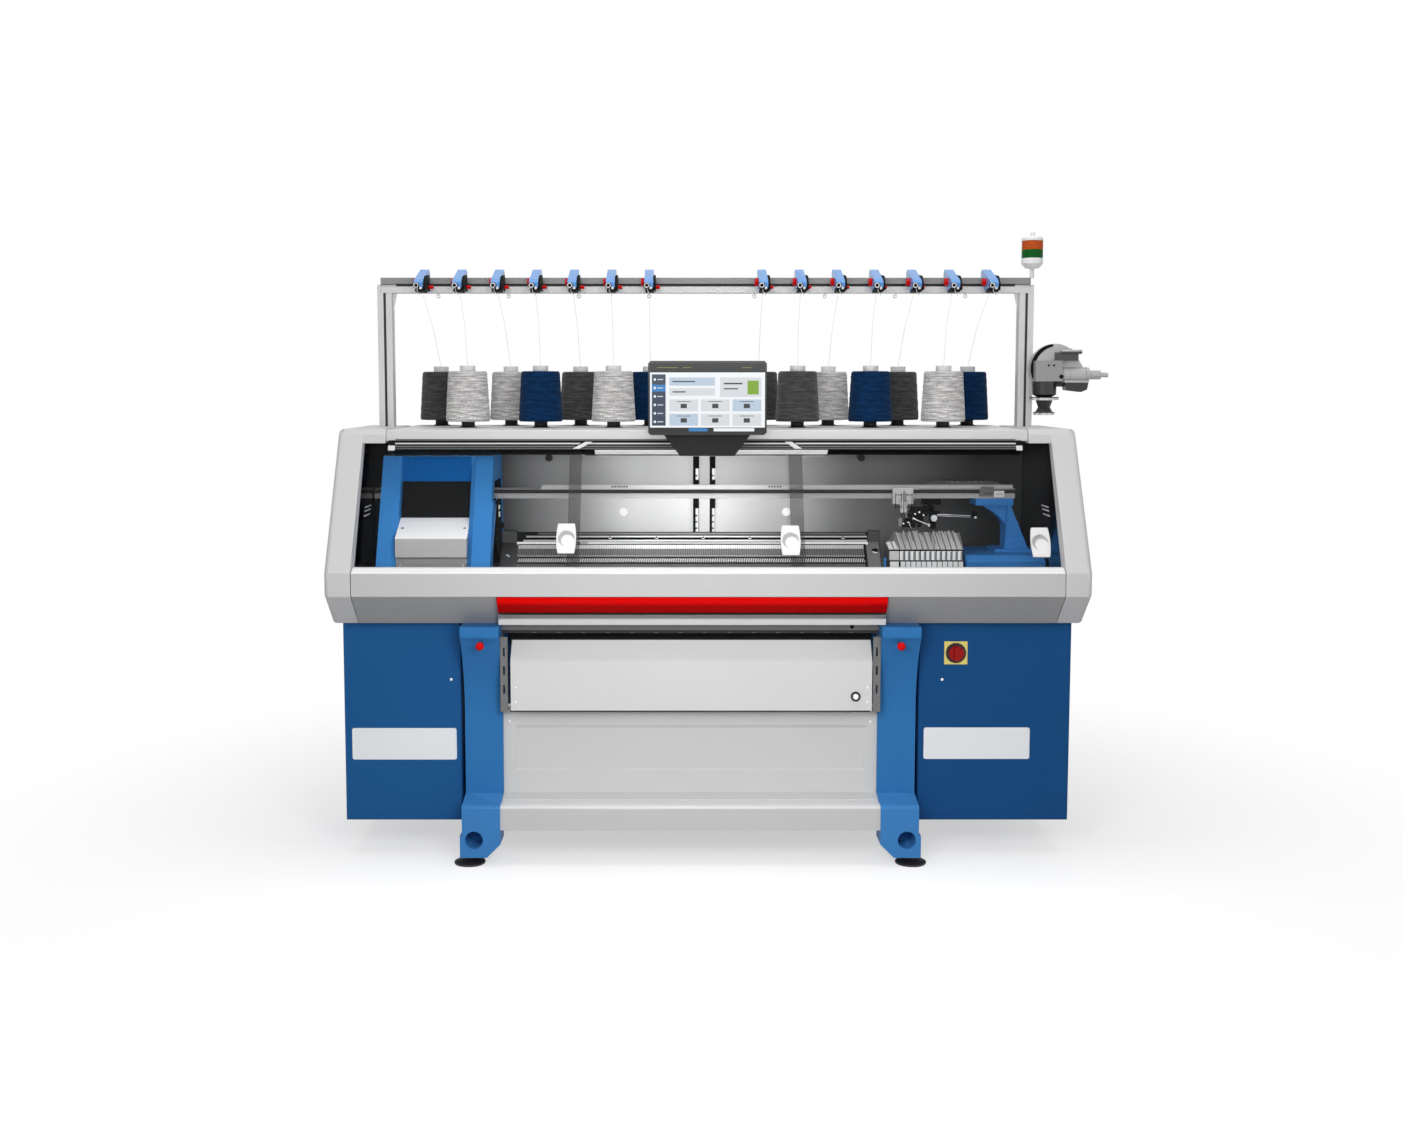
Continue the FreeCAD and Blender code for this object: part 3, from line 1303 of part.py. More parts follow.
# ---------------------------------------------------------------- small moving pieces
def fabric_cover():
    """Folded panel between the legs: upright face, top leaning back, side returns, pins."""
    t = sheet
    rim = [(fabric_y, fabric_low_z), (fabric_y, fabric_fold_z), (fabric_top_y, fabric_top_z),
           (fabric_top_y + t, fabric_top_z - 3), (fabric_y + t, fabric_fold_z - 2),
           (fabric_y + t, fabric_low_z)]
    panel = prism_x(rim, fabric_x0, fabric_x1)
    side = [(fabric_y + 1, fabric_low_z), (fabric_y + 1, fabric_fold_z), (fabric_top_y, fabric_top_z - 2),
            (fabric_top_y + 14, fabric_top_z - 14), (fabric_y + fabric_return + 12, fabric_fold_z),
            (fabric_y + fabric_return + 12, fabric_low_z)]
    returns = [prism_x(side, fabric_x0, fabric_x0 + t), prism_x(side, fabric_x1 - t, fabric_x1)]
    left_end = leg_inner_left + bracket_width - 5
    right_end = leg_inner_right - bracket_width + 5
    pins = [rod_x(left_end, fabric_x0 + t, fabric_pivot_y, fabric_pivot_z, fabric_pin_r),
            rod_x(fabric_x1 - t, right_end, fabric_pivot_y, fabric_pivot_z, fabric_pin_r)]
    body = panel.fuse(returns + pins).removeSplitter()
    x = fabric_x1 - lock_side
    return body.cut(rod_y(x, fabric_y, fabric_y + t, lock_z, lock_core_r + fit))


def cover_lock():
    """Round lock in the fabric cover: key disc outside, core through the sheet, tongue behind."""
    x = fabric_x1 - lock_side
    disc = bar_y(x, fabric_y - gap - 5, fabric_y - gap, lock_z, lock_r, round_sides)
    slot = box(x - 1, x + 1, fabric_y - gap - 5, fabric_y - gap - 2, lock_z - 6, lock_z + 6)
    core = rod_y(x, fabric_y - gap - 1, fabric_y + sheet + 6, lock_z, lock_core_r)
    tongue = box(x - 7, x + 30, fabric_y + sheet + gap, fabric_y + sheet + gap + 4, lock_z - 7, lock_z + 7)
    return disc.cut(slot).fuse([core, tongue]).removeSplitter()


def pull_knob(inner, side):
    """Ball on a shaft that is pulled forward out of the leg."""
    x = inner + side * knob_x
    turns = [math.pi * (i / 5 - 0.5) for i in range(6)]
    levels = [(max(knob_r * math.cos(t), ball_flat), knob_r * math.sin(t)) for t in turns]
    ball = faceted_z(0, 0, levels, small_sides)
    ball.rotate(V(0, 0, 0), V(1, 0, 0), 90)
    ball.translate(V(x, 0, knob_z))
    shaft = rod_y(x, 0, leg_top_y + knob_bore - 4, knob_z, knob_shaft_r)
    return ball.fuse(shaft).removeSplitter()


def roller(y):
    x0, x1 = leg_inner_left + roller_side, leg_inner_right - roller_side
    body = bar_x(x0, x1, y, roller_z, roller_r, round_sides)
    pins = rod_x(leg_inner_left - roller_pin, leg_inner_right + roller_pin, y, roller_z, roller_pin_r)
    return body.fuse(pins).removeSplitter()


def switch_plate():
    half = switch_size / 2
    y = cabinet_y
    plate = box(switch_x - half, switch_x + half, y - switch_plate_thick, y, switch_z - half, switch_z + half)
    collar = bar_y(switch_x, y - switch_plate_thick - collar_depth, y - switch_plate_thick + 1,
                   switch_z, collar_r, round_sides)
    body = plate.fuse(collar).removeSplitter()
    return body.cut(rod_y(switch_x, y - switch_plate_thick - collar_depth, y, switch_z, switch_shaft_r + fit))


def switch_knob():
    """Round rotary knob with a raised grip, its shaft in the plate."""
    face = cabinet_y - switch_plate_thick - collar_depth - gap
    disc = bar_y(switch_x, face - 8, face, switch_z, switch_knob_r, round_sides)
    grip = box(switch_x - 8, switch_x + 8, face - switch_knob_depth, face - 7,
               switch_z - switch_knob_r + 3, switch_z + switch_knob_r - 3)
    shaft = rod_y(switch_x, face - 1, cabinet_y - 1, switch_z, switch_shaft_r)
    return disc.fuse([grip, shaft]).removeSplitter()


# ---------------------------------------------------------------- the sub-parts
def main():
    os.makedirs("parts", exist_ok=True)

    save("leg_left", [leg(leg_inner_left, -1)])
    save("leg_right", [leg(leg_inner_right, 1)])
    pads = []
    for x in (leg_inner_left - pad_x, leg_inner_right + pad_x):
        for y in (leg_foot_y + pad_inset, leg_foot_back_y - pad_inset):
            pads.append(levelling_foot(x, y))
    save("levelling_feet", pads)
    save("base_crossbar", [crossbar()])
    save("lower_panel", [lower_panel(), cover_bracket(leg_inner_left, -1),
                         cover_bracket(leg_inner_right, 1)])
    save("rear_panel", [rear_panel()])
    left_end = leg_inner_left - leg_width - foot_flare - cabinet_left_gap
    save("cabinet_left", [cabinet(-cabinet_outer_x, left_end)])
    save("cabinet_right", [cabinet(leg_inner_right + leg_width + cabinet_right_gap, cabinet_outer_x)])
    save("main_switch_plate", [switch_plate()])
    save("main_switch_knob", [switch_knob()])
    save("machine_bed", [machine_bed()])

    save("front_cover", [front_cover()])
    left_end = leg_inner_left - bar_gap
    right_end = bar_right + bar_gap
    outer_end = inner_x - shell_seam
    save("lower_covers", [lower_cover(-outer_end, left_end, left_end - cover_wall),
                          lower_cover(right_end, outer_end, right_end), bar_sill(), bed_apron()])
    save("red_bar", [red_bar()])
    save("side_shell_left", [side_shell(-1)])
    save("side_shell_right", [side_shell(1)])
    save("yarn_table", [yarn_table()])
    save("back_wall", [back_wall()])
    save("wall_fittings", wall_fittings())

    save("door_rails", door_rails())
    for track, name in enumerate(("left", "middle", "right")):
        x0, x1 = door_edges[track]
        save("door_" + name, [door(track, x0, x1)])
        save("handle_" + name, [handle(track, x1)])

    front_bed = needle_bed_front()
    girder = bed_girder()
    save("needle_bed_front", [front_bed, girder])
    save("needle_bed_rear", [flipped(front_bed), flipped(girder)])
    save("comb_rails", comb_rails())
    save("bed_ends", [bed_end(bed_end_left_x, needle_x0), bed_end(needle_x1, bed_end_right_x)])
    save("guide_rails", guide_rails())
    save("carriage_bow", [carriage_bow()])
    save("carriage_hood", [carriage_hood()])
    save("cam_boxes", cam_boxes())
    save("carrier_rails", carrier_rails() + [rail_end_plate()])
    left_saddle, right_saddle = stand_saddles()
    save("rail_stands", [left_stand_plate().fuse(left_saddle).removeSplitter(),
                         right_stand().fuse(right_saddle).removeSplitter()])
    save("yarn_carrier_1", [first_carrier()])
    save("yarn_carrier_2", [second_carrier()])
    save("clamp_unit", [clamp_unit()])

    hooks = [hook(hook_shift + side * (hook_x + i * hook_pitch))
             for side in (-1, 1) for i in range(hook_count)]
    frame = [frame_post(-1), frame_post(1), frame_beam(), frame_gusset(-1), frame_gusset(1)]
    save("yarn_frame", frame + hooks)
    save("yarn_units", [yarn_unit(x) for x in unit_places()])
    save("unit_knobs", [k for x in unit_places() for k in unit_knobs(x)])

    front = [(x, front_row_y) for x in row_places(front_row_x, 3)]
    back = [(x, back_row_y) for x in row_places(back_row_x, 4)]
    save("cones_light", [cone(*front[i]) for i in (0, 2, 5)] + [cone(*back[i]) for i in (1, 5)])
    save("cones_dark", [cone(*front[3])] + [cone(*back[i]) for i in (0, 2, 4, 6)])
    save("cones_navy", [cone(*front[i]) for i in (1, 4)] + [cone(*back[i]) for i in (3, 7)])
    save("cone_stands", [cone_stand(x, y) for x, y in front + back])

    save("display_bracket", [display_bracket()])
    save("display", [display()])
    save("work_light", [work_light()])
    body, lenses = beacon()
    save("beacon_body", body)
    save("beacon_green", lenses[:1])
    save("beacon_amber", lenses[1:])
    save("side_feeder", [side_feeder()])
    save("feeder_wheels", [feeder_wheels()])

    save("fabric_cover", [fabric_cover()])
    save("cover_lock", [cover_lock()])
    save("pull_knob_left", [pull_knob(leg_inner_left, -1)])
    save("pull_knob_right", [pull_knob(leg_inner_right, 1)])
    save("takedown_roller_front", [roller(roller_y)])
    save("takedown_roller_rear", [roller(roller_rear_y)])


main()
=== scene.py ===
"""Looks of the flat knitting machine: paints, fine pieces, light and camera.

Fine pieces are written in machine millimetres (X from the middle between the side
shells, Y back from the front cover's face, Z up) and moved into the model's frame.
"""
import bpy
import math
import random
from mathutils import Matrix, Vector


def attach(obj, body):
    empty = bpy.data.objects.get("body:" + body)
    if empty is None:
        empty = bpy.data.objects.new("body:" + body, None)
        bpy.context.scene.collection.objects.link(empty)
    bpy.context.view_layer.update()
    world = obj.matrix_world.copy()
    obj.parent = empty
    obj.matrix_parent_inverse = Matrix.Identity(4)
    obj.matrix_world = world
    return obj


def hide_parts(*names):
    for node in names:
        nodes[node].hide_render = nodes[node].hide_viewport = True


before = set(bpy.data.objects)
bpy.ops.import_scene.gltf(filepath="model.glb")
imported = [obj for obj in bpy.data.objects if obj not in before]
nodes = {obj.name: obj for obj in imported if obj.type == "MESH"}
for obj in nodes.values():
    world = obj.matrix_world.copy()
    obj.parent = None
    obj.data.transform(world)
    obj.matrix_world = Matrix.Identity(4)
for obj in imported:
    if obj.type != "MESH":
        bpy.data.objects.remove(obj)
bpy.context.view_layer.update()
TAU = 2 * math.pi
X, Y, Z = (1, 0, 0), (0, 1, 0), (0, 0, 1)
MID_X, MID_Y = 85.0, 433.0      # the model's origin in machine millimetres
WRAP = 480.0                    # once around a yarn package, which sets the strands' scale


def place(p):
    """A point in machine millimetres, in metres in the model's frame."""
    return ((p[0] - MID_X) / 1000.0, (p[1] - MID_Y) / 1000.0, p[2] / 1000.0)


def reach(limit, direction):
    """A limit in machine millimetres along a direction, in metres in the model's frame."""
    return (limit - MID_X * direction[0] - MID_Y * direction[1]) / 1000.0


# ---------------------------------------------------------------- materials
def feed(t, socket, value):
    """Link an output to an input, or set the input's value."""
    if isinstance(value, bpy.types.NodeSocket):
        t.links.new(value, socket)
    else:
        socket.default_value = value


def fill(t, n, **values):
    """Give a node its settings and inputs by name, with _ for a space."""
    for key, value in values.items():
        if hasattr(n, key):
            setattr(n, key, value)
        else:
            feed(t, n.inputs[key.replace("_", " ")], value)


def node(t, kind, *inputs, out=0, **values):
    """Add a node and give its output; inputs come in order or by name."""
    n = t.nodes.new("ShaderNode" + kind)
    fill(t, n, **values)
    for socket, value in zip(n.inputs, inputs):
        feed(t, socket, value)
    return n.outputs[out]


def ramp(t, fac, stops, interpolation="LINEAR"):
    """Colour ramp; the first two (position, colour) stops are the ramp's own ends."""
    n = t.nodes.new("ShaderNodeValToRGB")
    n.color_ramp.interpolation = interpolation
    elements = n.color_ramp.elements
    for k, (position, colour) in enumerate(stops):
        e = elements[k] if k < 2 else elements.new(position)
        e.position = position
        e.color = colour
    feed(t, n.inputs["Fac"], fac)
    return n.outputs["Color"]


def blank(name):
    m = bpy.data.materials.new(name)
    m.use_nodes = True
    return m, m.node_tree, m.node_tree.nodes["Principled BSDF"]


def scaled(colour, k):
    """A colour, or a grey given as one number, made k times as bright."""
    r, g, b = colour if isinstance(colour, tuple) else (colour,) * 3
    return (min(1, r * k), min(1, g * k), min(1, b * k), 1)


def shade(m, direction, low, high, stops):
    """Multiply the colour by a grey ramp that runs between two places along a direction."""
    t = m.node_tree
    b = t.nodes["Principled BSDF"]
    where = node(t, "TexCoord", out="Object")
    along = node(t, "VectorMath", where, direction, operation="DOT_PRODUCT", out="Value")
    span = node(t, "MapRange", along, From_Min=reach(low, direction), From_Max=reach(high, direction))
    greys = ramp(t, span, [(position, (v, v, v, 1)) for position, v in stops], "EASE")
    paint = b.inputs["Base Color"].links[0].from_socket
    fill(t, b, Base_Color=node(t, "MixRGB", 1.0, paint, greys, blend_type="MULTIPLY"))


def zone_mask(t, where, limits):
    """1 inside all the limits, 0 outside."""
    mask = None
    for direction, low, high in limits:
        along = node(t, "VectorMath", where, direction, operation="DOT_PRODUCT", out="Value")
        for limit, kind in ((low, "GREATER_THAN"), (high, "LESS_THAN")):
            test = node(t, "Math", along, reach(limit, direction), operation=kind)
            mask = node(t, "Math", mask, test, operation="MULTIPLY") if mask else test
    return mask


def finish(name, colour, rough=0.5, metal=0.0, tone=0.05, grain=350.0, bump=0.02, stretch=(1, 1, 1),
           spread=0.06, coat=0.0, blotch=3.0, emit=0.0, specular=0.5, zones=()):
    """One surface: colour drifts in blotches, roughness in grain, relief from fine noise.

    A zone is (colour, rough, metal, limit, ...), where another paint or metal shows; a limit
    is ((x, y, z), low, high), a range in machine millimetres along that direction.
    """
    m, t, b = blank(name)
    where = node(t, "TexCoord", out="Object")
    drift = node(t, "TexNoise", Vector=where, Scale=blotch, Detail=5.0, Roughness=0.6)
    shift = node(t, "Mapping", Vector=where, Scale=stretch)
    fine = node(t, "TexNoise", Vector=shift, Scale=grain, Detail=3.0, Roughness=0.55)
    both = node(t, "Math", fine, 0.5, drift, operation="MULTIPLY_ADD")

    def mottled(hue):
        return ramp(t, both, [(0.35, scaled(hue, 1 - tone)), (1.0, scaled(hue, 1 + tone))])

    def stepped(mask, step, value):
        return node(t, "Math", mask, step, value, operation="MULTIPLY_ADD", use_clamp=True)

    paint, metallic = mottled(colour), metal
    gloss = node(t, "MapRange", fine, To_Min=max(0.02, rough - spread), To_Max=min(1.0, rough + spread))
    for hue, z_rough, z_metal, *limits in zones:
        mask = zone_mask(t, where, limits)
        paint = node(t, "MixRGB", mask, paint, mottled(hue))
        gloss = stepped(mask, z_rough - rough, gloss)
        if z_metal != metal:
            metallic = stepped(mask, z_metal - metal, metallic)
    fill(t, b, Base_Color=paint, Roughness=gloss, Metallic=metallic, Specular_IOR_Level=specular,
         Coat_Weight=coat, Coat_Roughness=0.12)
    if bump:
        fill(t, b, Normal=node(t, "Bump", Strength=bump, Distance=0.001, Height=fine))
    if emit:
        fill(t, b, Emission_Color=scaled(colour, 1), Emission_Strength=emit)
    return m


def wound_yarn(name, colour, sheen):
    """Cross-wound yarn: flat streaks around the package over fine strands."""
    m, t, b = blank(name)
    where = node(t, "TexCoord", out="UV")
    total = 0.0
    for turn, around, climb, weight in ((0.055, 9, 95, 0.6), (-0.05, 7, 80, 0.6), (0, 60, 260, 0.5)):
        shift = node(t, "Mapping", Vector=where, Rotation=(0, 0, turn), Scale=(around, climb, 1))
        streak = node(t, "TexNoise", Vector=shift, Scale=1.0, Detail=3.0, Roughness=0.6)
        total = node(t, "Math", streak, weight, total, operation="MULTIPLY_ADD")
    paint = ramp(t, total, [(0.62, scaled(colour, 0.35)), (1.0, scaled(colour, 1.75)),
                            (0.82, scaled(colour, 0.95))])
    fill(t, b, Base_Color=paint, Roughness=0.85, Specular_IOR_Level=0.1, Sheen_Weight=sheen,
         Sheen_Roughness=0.5, Normal=node(t, "Bump", Strength=0.9, Distance=0.0015, Height=total))
    return m


def clear_pane(name, colour, alpha):
    """Clear plastic with a little dust in its gloss."""
    m, t, b = blank(name)
    dust = node(t, "TexNoise", Vector=node(t, "TexCoord", out="Object"), Scale=6.0, Detail=4.0)
    fill(t, b, Roughness=node(t, "MapRange", dust, To_Min=0.04, To_Max=0.09),
         Base_Color=scaled(colour, 1), Alpha=alpha)
    return m


def screen_colour(name, colour, strength):
    """A lit patch of the screen; a fine dot raster breaks its evenness."""
    m, t, b = blank(name)
    dots = node(t, "TexNoise", Vector=node(t, "TexCoord", out="Object"), Scale=900.0, Detail=1.0)
    glow = ramp(t, dots, [(0.0, scaled(colour, 0.96)), (1.0, scaled(colour, 1.04))])
    fill(t, b, Emission_Color=glow, Emission_Strength=strength, Base_Color=scaled(0.01, 1),
         Roughness=0.15)
    return m


def sheet_paint(name, colour, zones=(), rough=0.45, tone=0.02, bump=0.05, specular=0.3):
    return finish(name, colour, rough, tone=tone, grain=900, bump=bump, specular=specular, zones=zones)


def frame_paint(name, colour, zones, rough=0.45, bump=0.06, specular=0.12):
    return finish(name, colour, rough, grain=800, bump=bump, specular=specular, zones=zones)


# Grey sheets; the zones are painted light and shade: painted highlights along folded top edges, and painted
# shade and painted shadow lines on lower steps and in recesses.
SILL = (X, -667, 568)
shell = sheet_paint("shell_paint", 0.585, tone=0.015)
# Front cover: a painted highlight, a lighter band along its top edge from 946 to 970 mm.
face = sheet_paint("face_paint", 0.53, [(0.84, 0.4, 0, (Z, 946, 970))], tone=0.015)
table_paint = sheet_paint("table_paint", 0.66, tone=0.015)
cover = sheet_paint("cover_paint", 0.66, rough=0.48)
# Crossbar: a painted highlight, a lighter band along its rounded top from 190 to 205 mm.
bar_paint = sheet_paint("bar_paint", 0.57, [(0.76, 0.4, 0, (Z, 190, 205))])
# Lower panel: painted shade, dark on its faces from 60 to 139 mm back, between the sill and the fabric cover.
panel_paint = sheet_paint("panel_paint", 0.62, [(0.17, 0.5, 0, (Y, 60, 139), (Z, 480, 740))], rough=0.48)
# Lower covers: a darker copy of the shell grey, painted shade on their downward slope; over the sill, painted
# shade and light in steps down from 815 mm: a painted shadow line, a lighter painted strip, then painted
# shade to near black below 750 mm.
lower_grey = sheet_paint("lower_grey", 0.37, [
    (0.27, 0.5, 0, SILL, (Z, 797, 815)), (0.60, 0.5, 0, SILL, (Z, 774, 797)),
    (0.17, 0.5, 0, SILL, (Z, 700, 774)), (0.03, 0.5, 0, SILL, (Z, 700, 750))], rough=0.48, specular=0.2)
# Carriage hood: painted shade, darker in two steps below 1037 and 974 mm, with a painted shadow line from 973
# to 976.5 mm.
hood_paint = sheet_paint("hood_paint", 0.98, [
    (0.52, 0.45, 0, (Z, 0, 1037)), (0.36, 0.45, 0, (Z, 0, 974)), (0.08, 0.45, 0, (Z, 973.0, 976.5))],
    bump=0.04)

# Blue castings, with painted light and shade in their zones.
# Legs: a painted highlight, lighter blue on the knees and feet below 215 mm.
blue = frame_paint("blue_paint", (0.030, 0.170, 0.430), [((0.050, 0.215, 0.520), 0.45, 0, (Z, 28, 215))])
# Cabinets: painted shade, a darker copy of the blue for their place under the covers, darker still on the
# right from 683 mm.
cabinet_blue = frame_paint("cabinet_paint", (0.012, 0.095, 0.275), [
    ((0.007, 0.070, 0.215), 0.45, 0, (X, 683, 1180))])
# Rail stands: a lighter copy of the blue as painted light, with painted shade near black on the left stand
# from -1120 to -900 mm.
stand_blue = frame_paint("stand_paint", (0.040, 0.200, 0.520), [
    ((0.006, 0.012, 0.020), 0.5, 0, (X, -1120, -900))])
# Bow: a lighter copy of the blue as painted light; its zones are painted shade on its face, a painted
# highlight on its top edge and painted black shade in its opening.
bow_blue = frame_paint("bow_paint", (0.042, 0.230, 0.580), [
    ((0.001, 0.105, 0.370), 0.45, 0, (X, -1009, -779), (Z, 1213, 1299)),
    ((0.30, 0.50, 0.70), 0.4, 0, (Z, 1297, 1320)),
    ((0.003, 0.006, 0.012), 0.5, 0, (X, -1080, -706.5), (Y, 353, 552), (Z, 900, 1213.5))],
    rough=0.42, bump=0.05, specular=0.05)
unit_blue = finish("unit_blue", (0.10, 0.30, 0.68), rough=0.35, grain=600, bump=0.03, coat=0.2)

# Metals; the aluminium's zones are the beam darker along its top, and painted shade near black in the beam's
# groove and in the two posts' grooves.
pale = finish("pale_metal", 0.62, rough=0.38, metal=0.3, tone=0.06, grain=300, bump=0.03)
middle_grey = finish("middle_grey", 0.24, rough=0.4, metal=0.3, tone=0.10, grain=300, bump=0.04)
wall = finish("wall_steel", (0.93, 0.93, 0.925), rough=0.45, metal=0.35, tone=0.04, grain=400, bump=0.03,
              blotch=1.5, stretch=(0.05, 1, 1))
# Painted light and shade along the wall: brightest in the middle, painted shade darkening to near black
# towards both ends.
shade(wall, X, -1117, 1117, [(0.16, 0.10), (0.95, 0.03), (0.28, 0.42), (0.40, 0.85), (0.50, 1.0),
                             (0.61, 0.72), (0.75, 0.22)])
fittings = finish("fitting_steel", (0.80, 0.80, 0.79), rough=0.45, metal=0.3, tone=0.04, grain=400,
                  bump=0.03, zones=[(0.01, 0.5, 0, (X, -600, -500), (Y, 600, 641)),
                                    (0.01, 0.5, 0, (X, 500, 600), (Y, 600, 641))])
alu = finish("aluminium", (0.57, 0.57, 0.572), metal=0.25, grain=260, bump=0.05, stretch=(0.02, 1, 1), zones=[
    (0.23, 0.5, 0.25, (Y, 540, 600), (Z, 1873, 1900)),
    # painted shade, near black, in the beam's groove and in the two posts' grooves
    (0.005, 0.5, 0, (X, -1062, 1062), (Y, 540, 560), (Z, 1868.2, 1877.4)),
    (0.02, 0.5, 0, (X, -1106, -1096), (Y, 548.8, 560), (Z, 1389, 1846)),
    (0.02, 0.5, 0, (X, 1096, 1106), (Y, 548.8, 560), (Z, 1389, 1846))])
# Carrier rails: painted shade, a near-black band in and above the front rail's groove.
rail_alu = finish("rail_aluminium", 0.30, rough=0.4, metal=0.35, grain=260, bump=0.04, stretch=(0.02, 1, 1),
                  zones=[(0.004, 0.6, 0, (Y, 0, 381.2), (Z, 1169.5, 1183)),
                         (0.27, 0.5, 0.3, (Z, 1183, 1210))])
rail_pale = finish("rail_pale", 0.36, rough=0.4, metal=0.3, grain=260, bump=0.04)
bed_dark = finish("bed_dark", 0.05, rough=0.4, metal=0.5, tone=0.12, grain=300, bump=0.06)
steel = finish("ground_steel", 0.40, rough=0.34, metal=0.85, tone=0.12, grain=300, bump=0.06,
               stretch=(0.05, 1, 1))
chrome = finish("chrome", (0.80, 0.80, 0.81), rough=0.12, metal=1.0, tone=0.03, grain=200, bump=0.0,
                spread=0.04)
carrier_grey = finish("carrier_grey", 0.50, rough=0.42, metal=0.3, tone=0.06, grain=400, bump=0.03,
                      zones=[(0.02, 0.5, 0.2, (Z, 1040, 1108))])
feeder_grey = finish("feeder_grey", 0.42, rough=0.40, metal=0.2, tone=0.06, grain=400, bump=0.03, zones=[
    (0.05, 0.45, 0, (X, 1187, 1300), (Y, 470, 499.8), (Z, 1613, 1645)),
    (0.27, 0.4, 0.2, (X, 1107, 1207), (Y, 455, 499.8), (Z, 1544, 1614)),
    (0.010, 0.4, 0, (X, 1216, 1312), (Z, 1500, 1540)),
    (0.008, 0.4, 0, (X, 1107, 1216), (Z, 1485, 1544))])

# Dark paints, plastics and rubber
matt_black = finish("matt_black", 0.003, rough=0.6, tone=0.2, grain=500, bump=0.04, specular=0.1)
rail_black = finish("rail_black", 0.003, tone=0.2, grain=400, bump=0.03, specular=0.1)
track_grey = finish("track_grey", 0.14, tone=0.10, grain=300, bump=0.04, specular=0.2)
end_grey = finish("end_grey", 0.010, rough=0.45, tone=0.15, grain=400, bump=0.04,
                  zones=[(0.13, 0.45, 0, (X, 530, 573), (Z, 870, 1010))])
dark = finish("dark_paint", (0.012, 0.012, 0.013), tone=0.15, grain=700, bump=0.05, specular=0.2)
# Painted shade in the door cups: grey on a cup's shadow side, paler grey round its lower rim.
cup_grey = finish("cup_grey", 0.42, tone=0.10, grain=60, bump=0.01)
cup_pale = finish("cup_pale", 0.60, grain=60, bump=0.01)
black = finish("black_plastic", (0.016, 0.016, 0.017), tone=0.2, grain=600, bump=0.08)
grey = finish("grey_plastic", 0.25, rough=0.48, tone=0.08, grain=500, bump=0.05)
wheel_black = finish("wheel_black", 0.008, rough=0.45, tone=0.2, grain=400, bump=0.04,
                     zones=[(0.50, 0.35, 0.5, (Z, 1479.5, 1488)), (0.50, 0.35, 0.5, (Z, 1429.5, 1437))])
white = finish("white_plastic", 0.80, rough=0.30, tone=0.02, grain=500, coat=0.3)
red = finish("red_plastic", (0.62, 0.002, 0.002), rough=0.38, tone=0.03, grain=500, specular=0.12)
switch_red = finish("switch_red", (0.34, 0.006, 0.006), rough=0.38, grain=500, specular=0.2)
bar_red = finish("bar_red", (0.66, 0.0015, 0.0015), tone=0.03, grain=500, specular=0.04,
                 zones=[((0.38, 0.001, 0.001), 0.5, 0, (Z, 815, 846))])
yellow = finish("yellow_plastic", (0.80, 0.66, 0.18), rough=0.4, tone=0.04, grain=500, bump=0.03,
                zones=[(0.004, 0.5, 0, (Y, 140, 146.9))])
rubber = finish("rubber", 0.02, rough=0.75, tone=0.2, grain=400, bump=0.15)
plate_white = finish("plate_white", (0.84, 0.86, 0.88), rough=0.35, tone=0.02, grain=600)
black_gloss = finish("black_gloss", (0.006, 0.006, 0.007), rough=0.12, tone=0.1, grain=200, bump=0.0,
                     coat=0.4)

# Lenses, lamps, panes and yarn
lens_green = finish("lens_green", (0.002, 0.085, 0.010), rough=0.4, tone=0.08, grain=200, specular=0.1)
lens_amber = finish("lens_amber", (0.48, 0.075, 0.010), rough=0.4, tone=0.08, grain=200, specular=0.1)
strip_lamp = finish("strip_diffuser", 0.66, rough=0.4, tone=0.08, grain=60, bump=0.0, emit=0.5)
pane = clear_pane("door_pane", (0.05, 0.055, 0.06), 0.035)
# Painted shade for the strips where the doors overlap.
overlap = clear_pane("door_overlap", 0.03, 0.26)
tube_paper = finish("tube_paper", 0.66, rough=0.6, tone=0.06, grain=400, bump=0.08)
thread = finish("thread", 0.62, rough=0.8, grain=900, bump=0.05)
yarn_light = wound_yarn("yarn_light", (0.46, 0.45, 0.445), 0.3)
yarn_dark = wound_yarn("yarn_dark", (0.050, 0.050, 0.051), 0.2)
yarn_navy = wound_yarn("yarn_navy", (0.0015, 0.020, 0.066), 0.03)


# ---------------------------------------------------------------- mesh builder
def new_object(name, data):
    obj = bpy.data.objects.new(name, data)
    bpy.context.scene.collection.objects.link(obj)
    return obj


def soften(obj, width, angle):
    """Bevel the edges sharper than an angle, by a width in millimetres."""
    mod = obj.modifiers.new("edge", "BEVEL")
    mod.width = width / 1000.0
    mod.segments = 2
    mod.limit_method = "ANGLE"
    mod.angle_limit = math.radians(angle)


def circle(n):
    """The angles of n points around a circle."""
    return [TAU * k / n for k in range(n)]


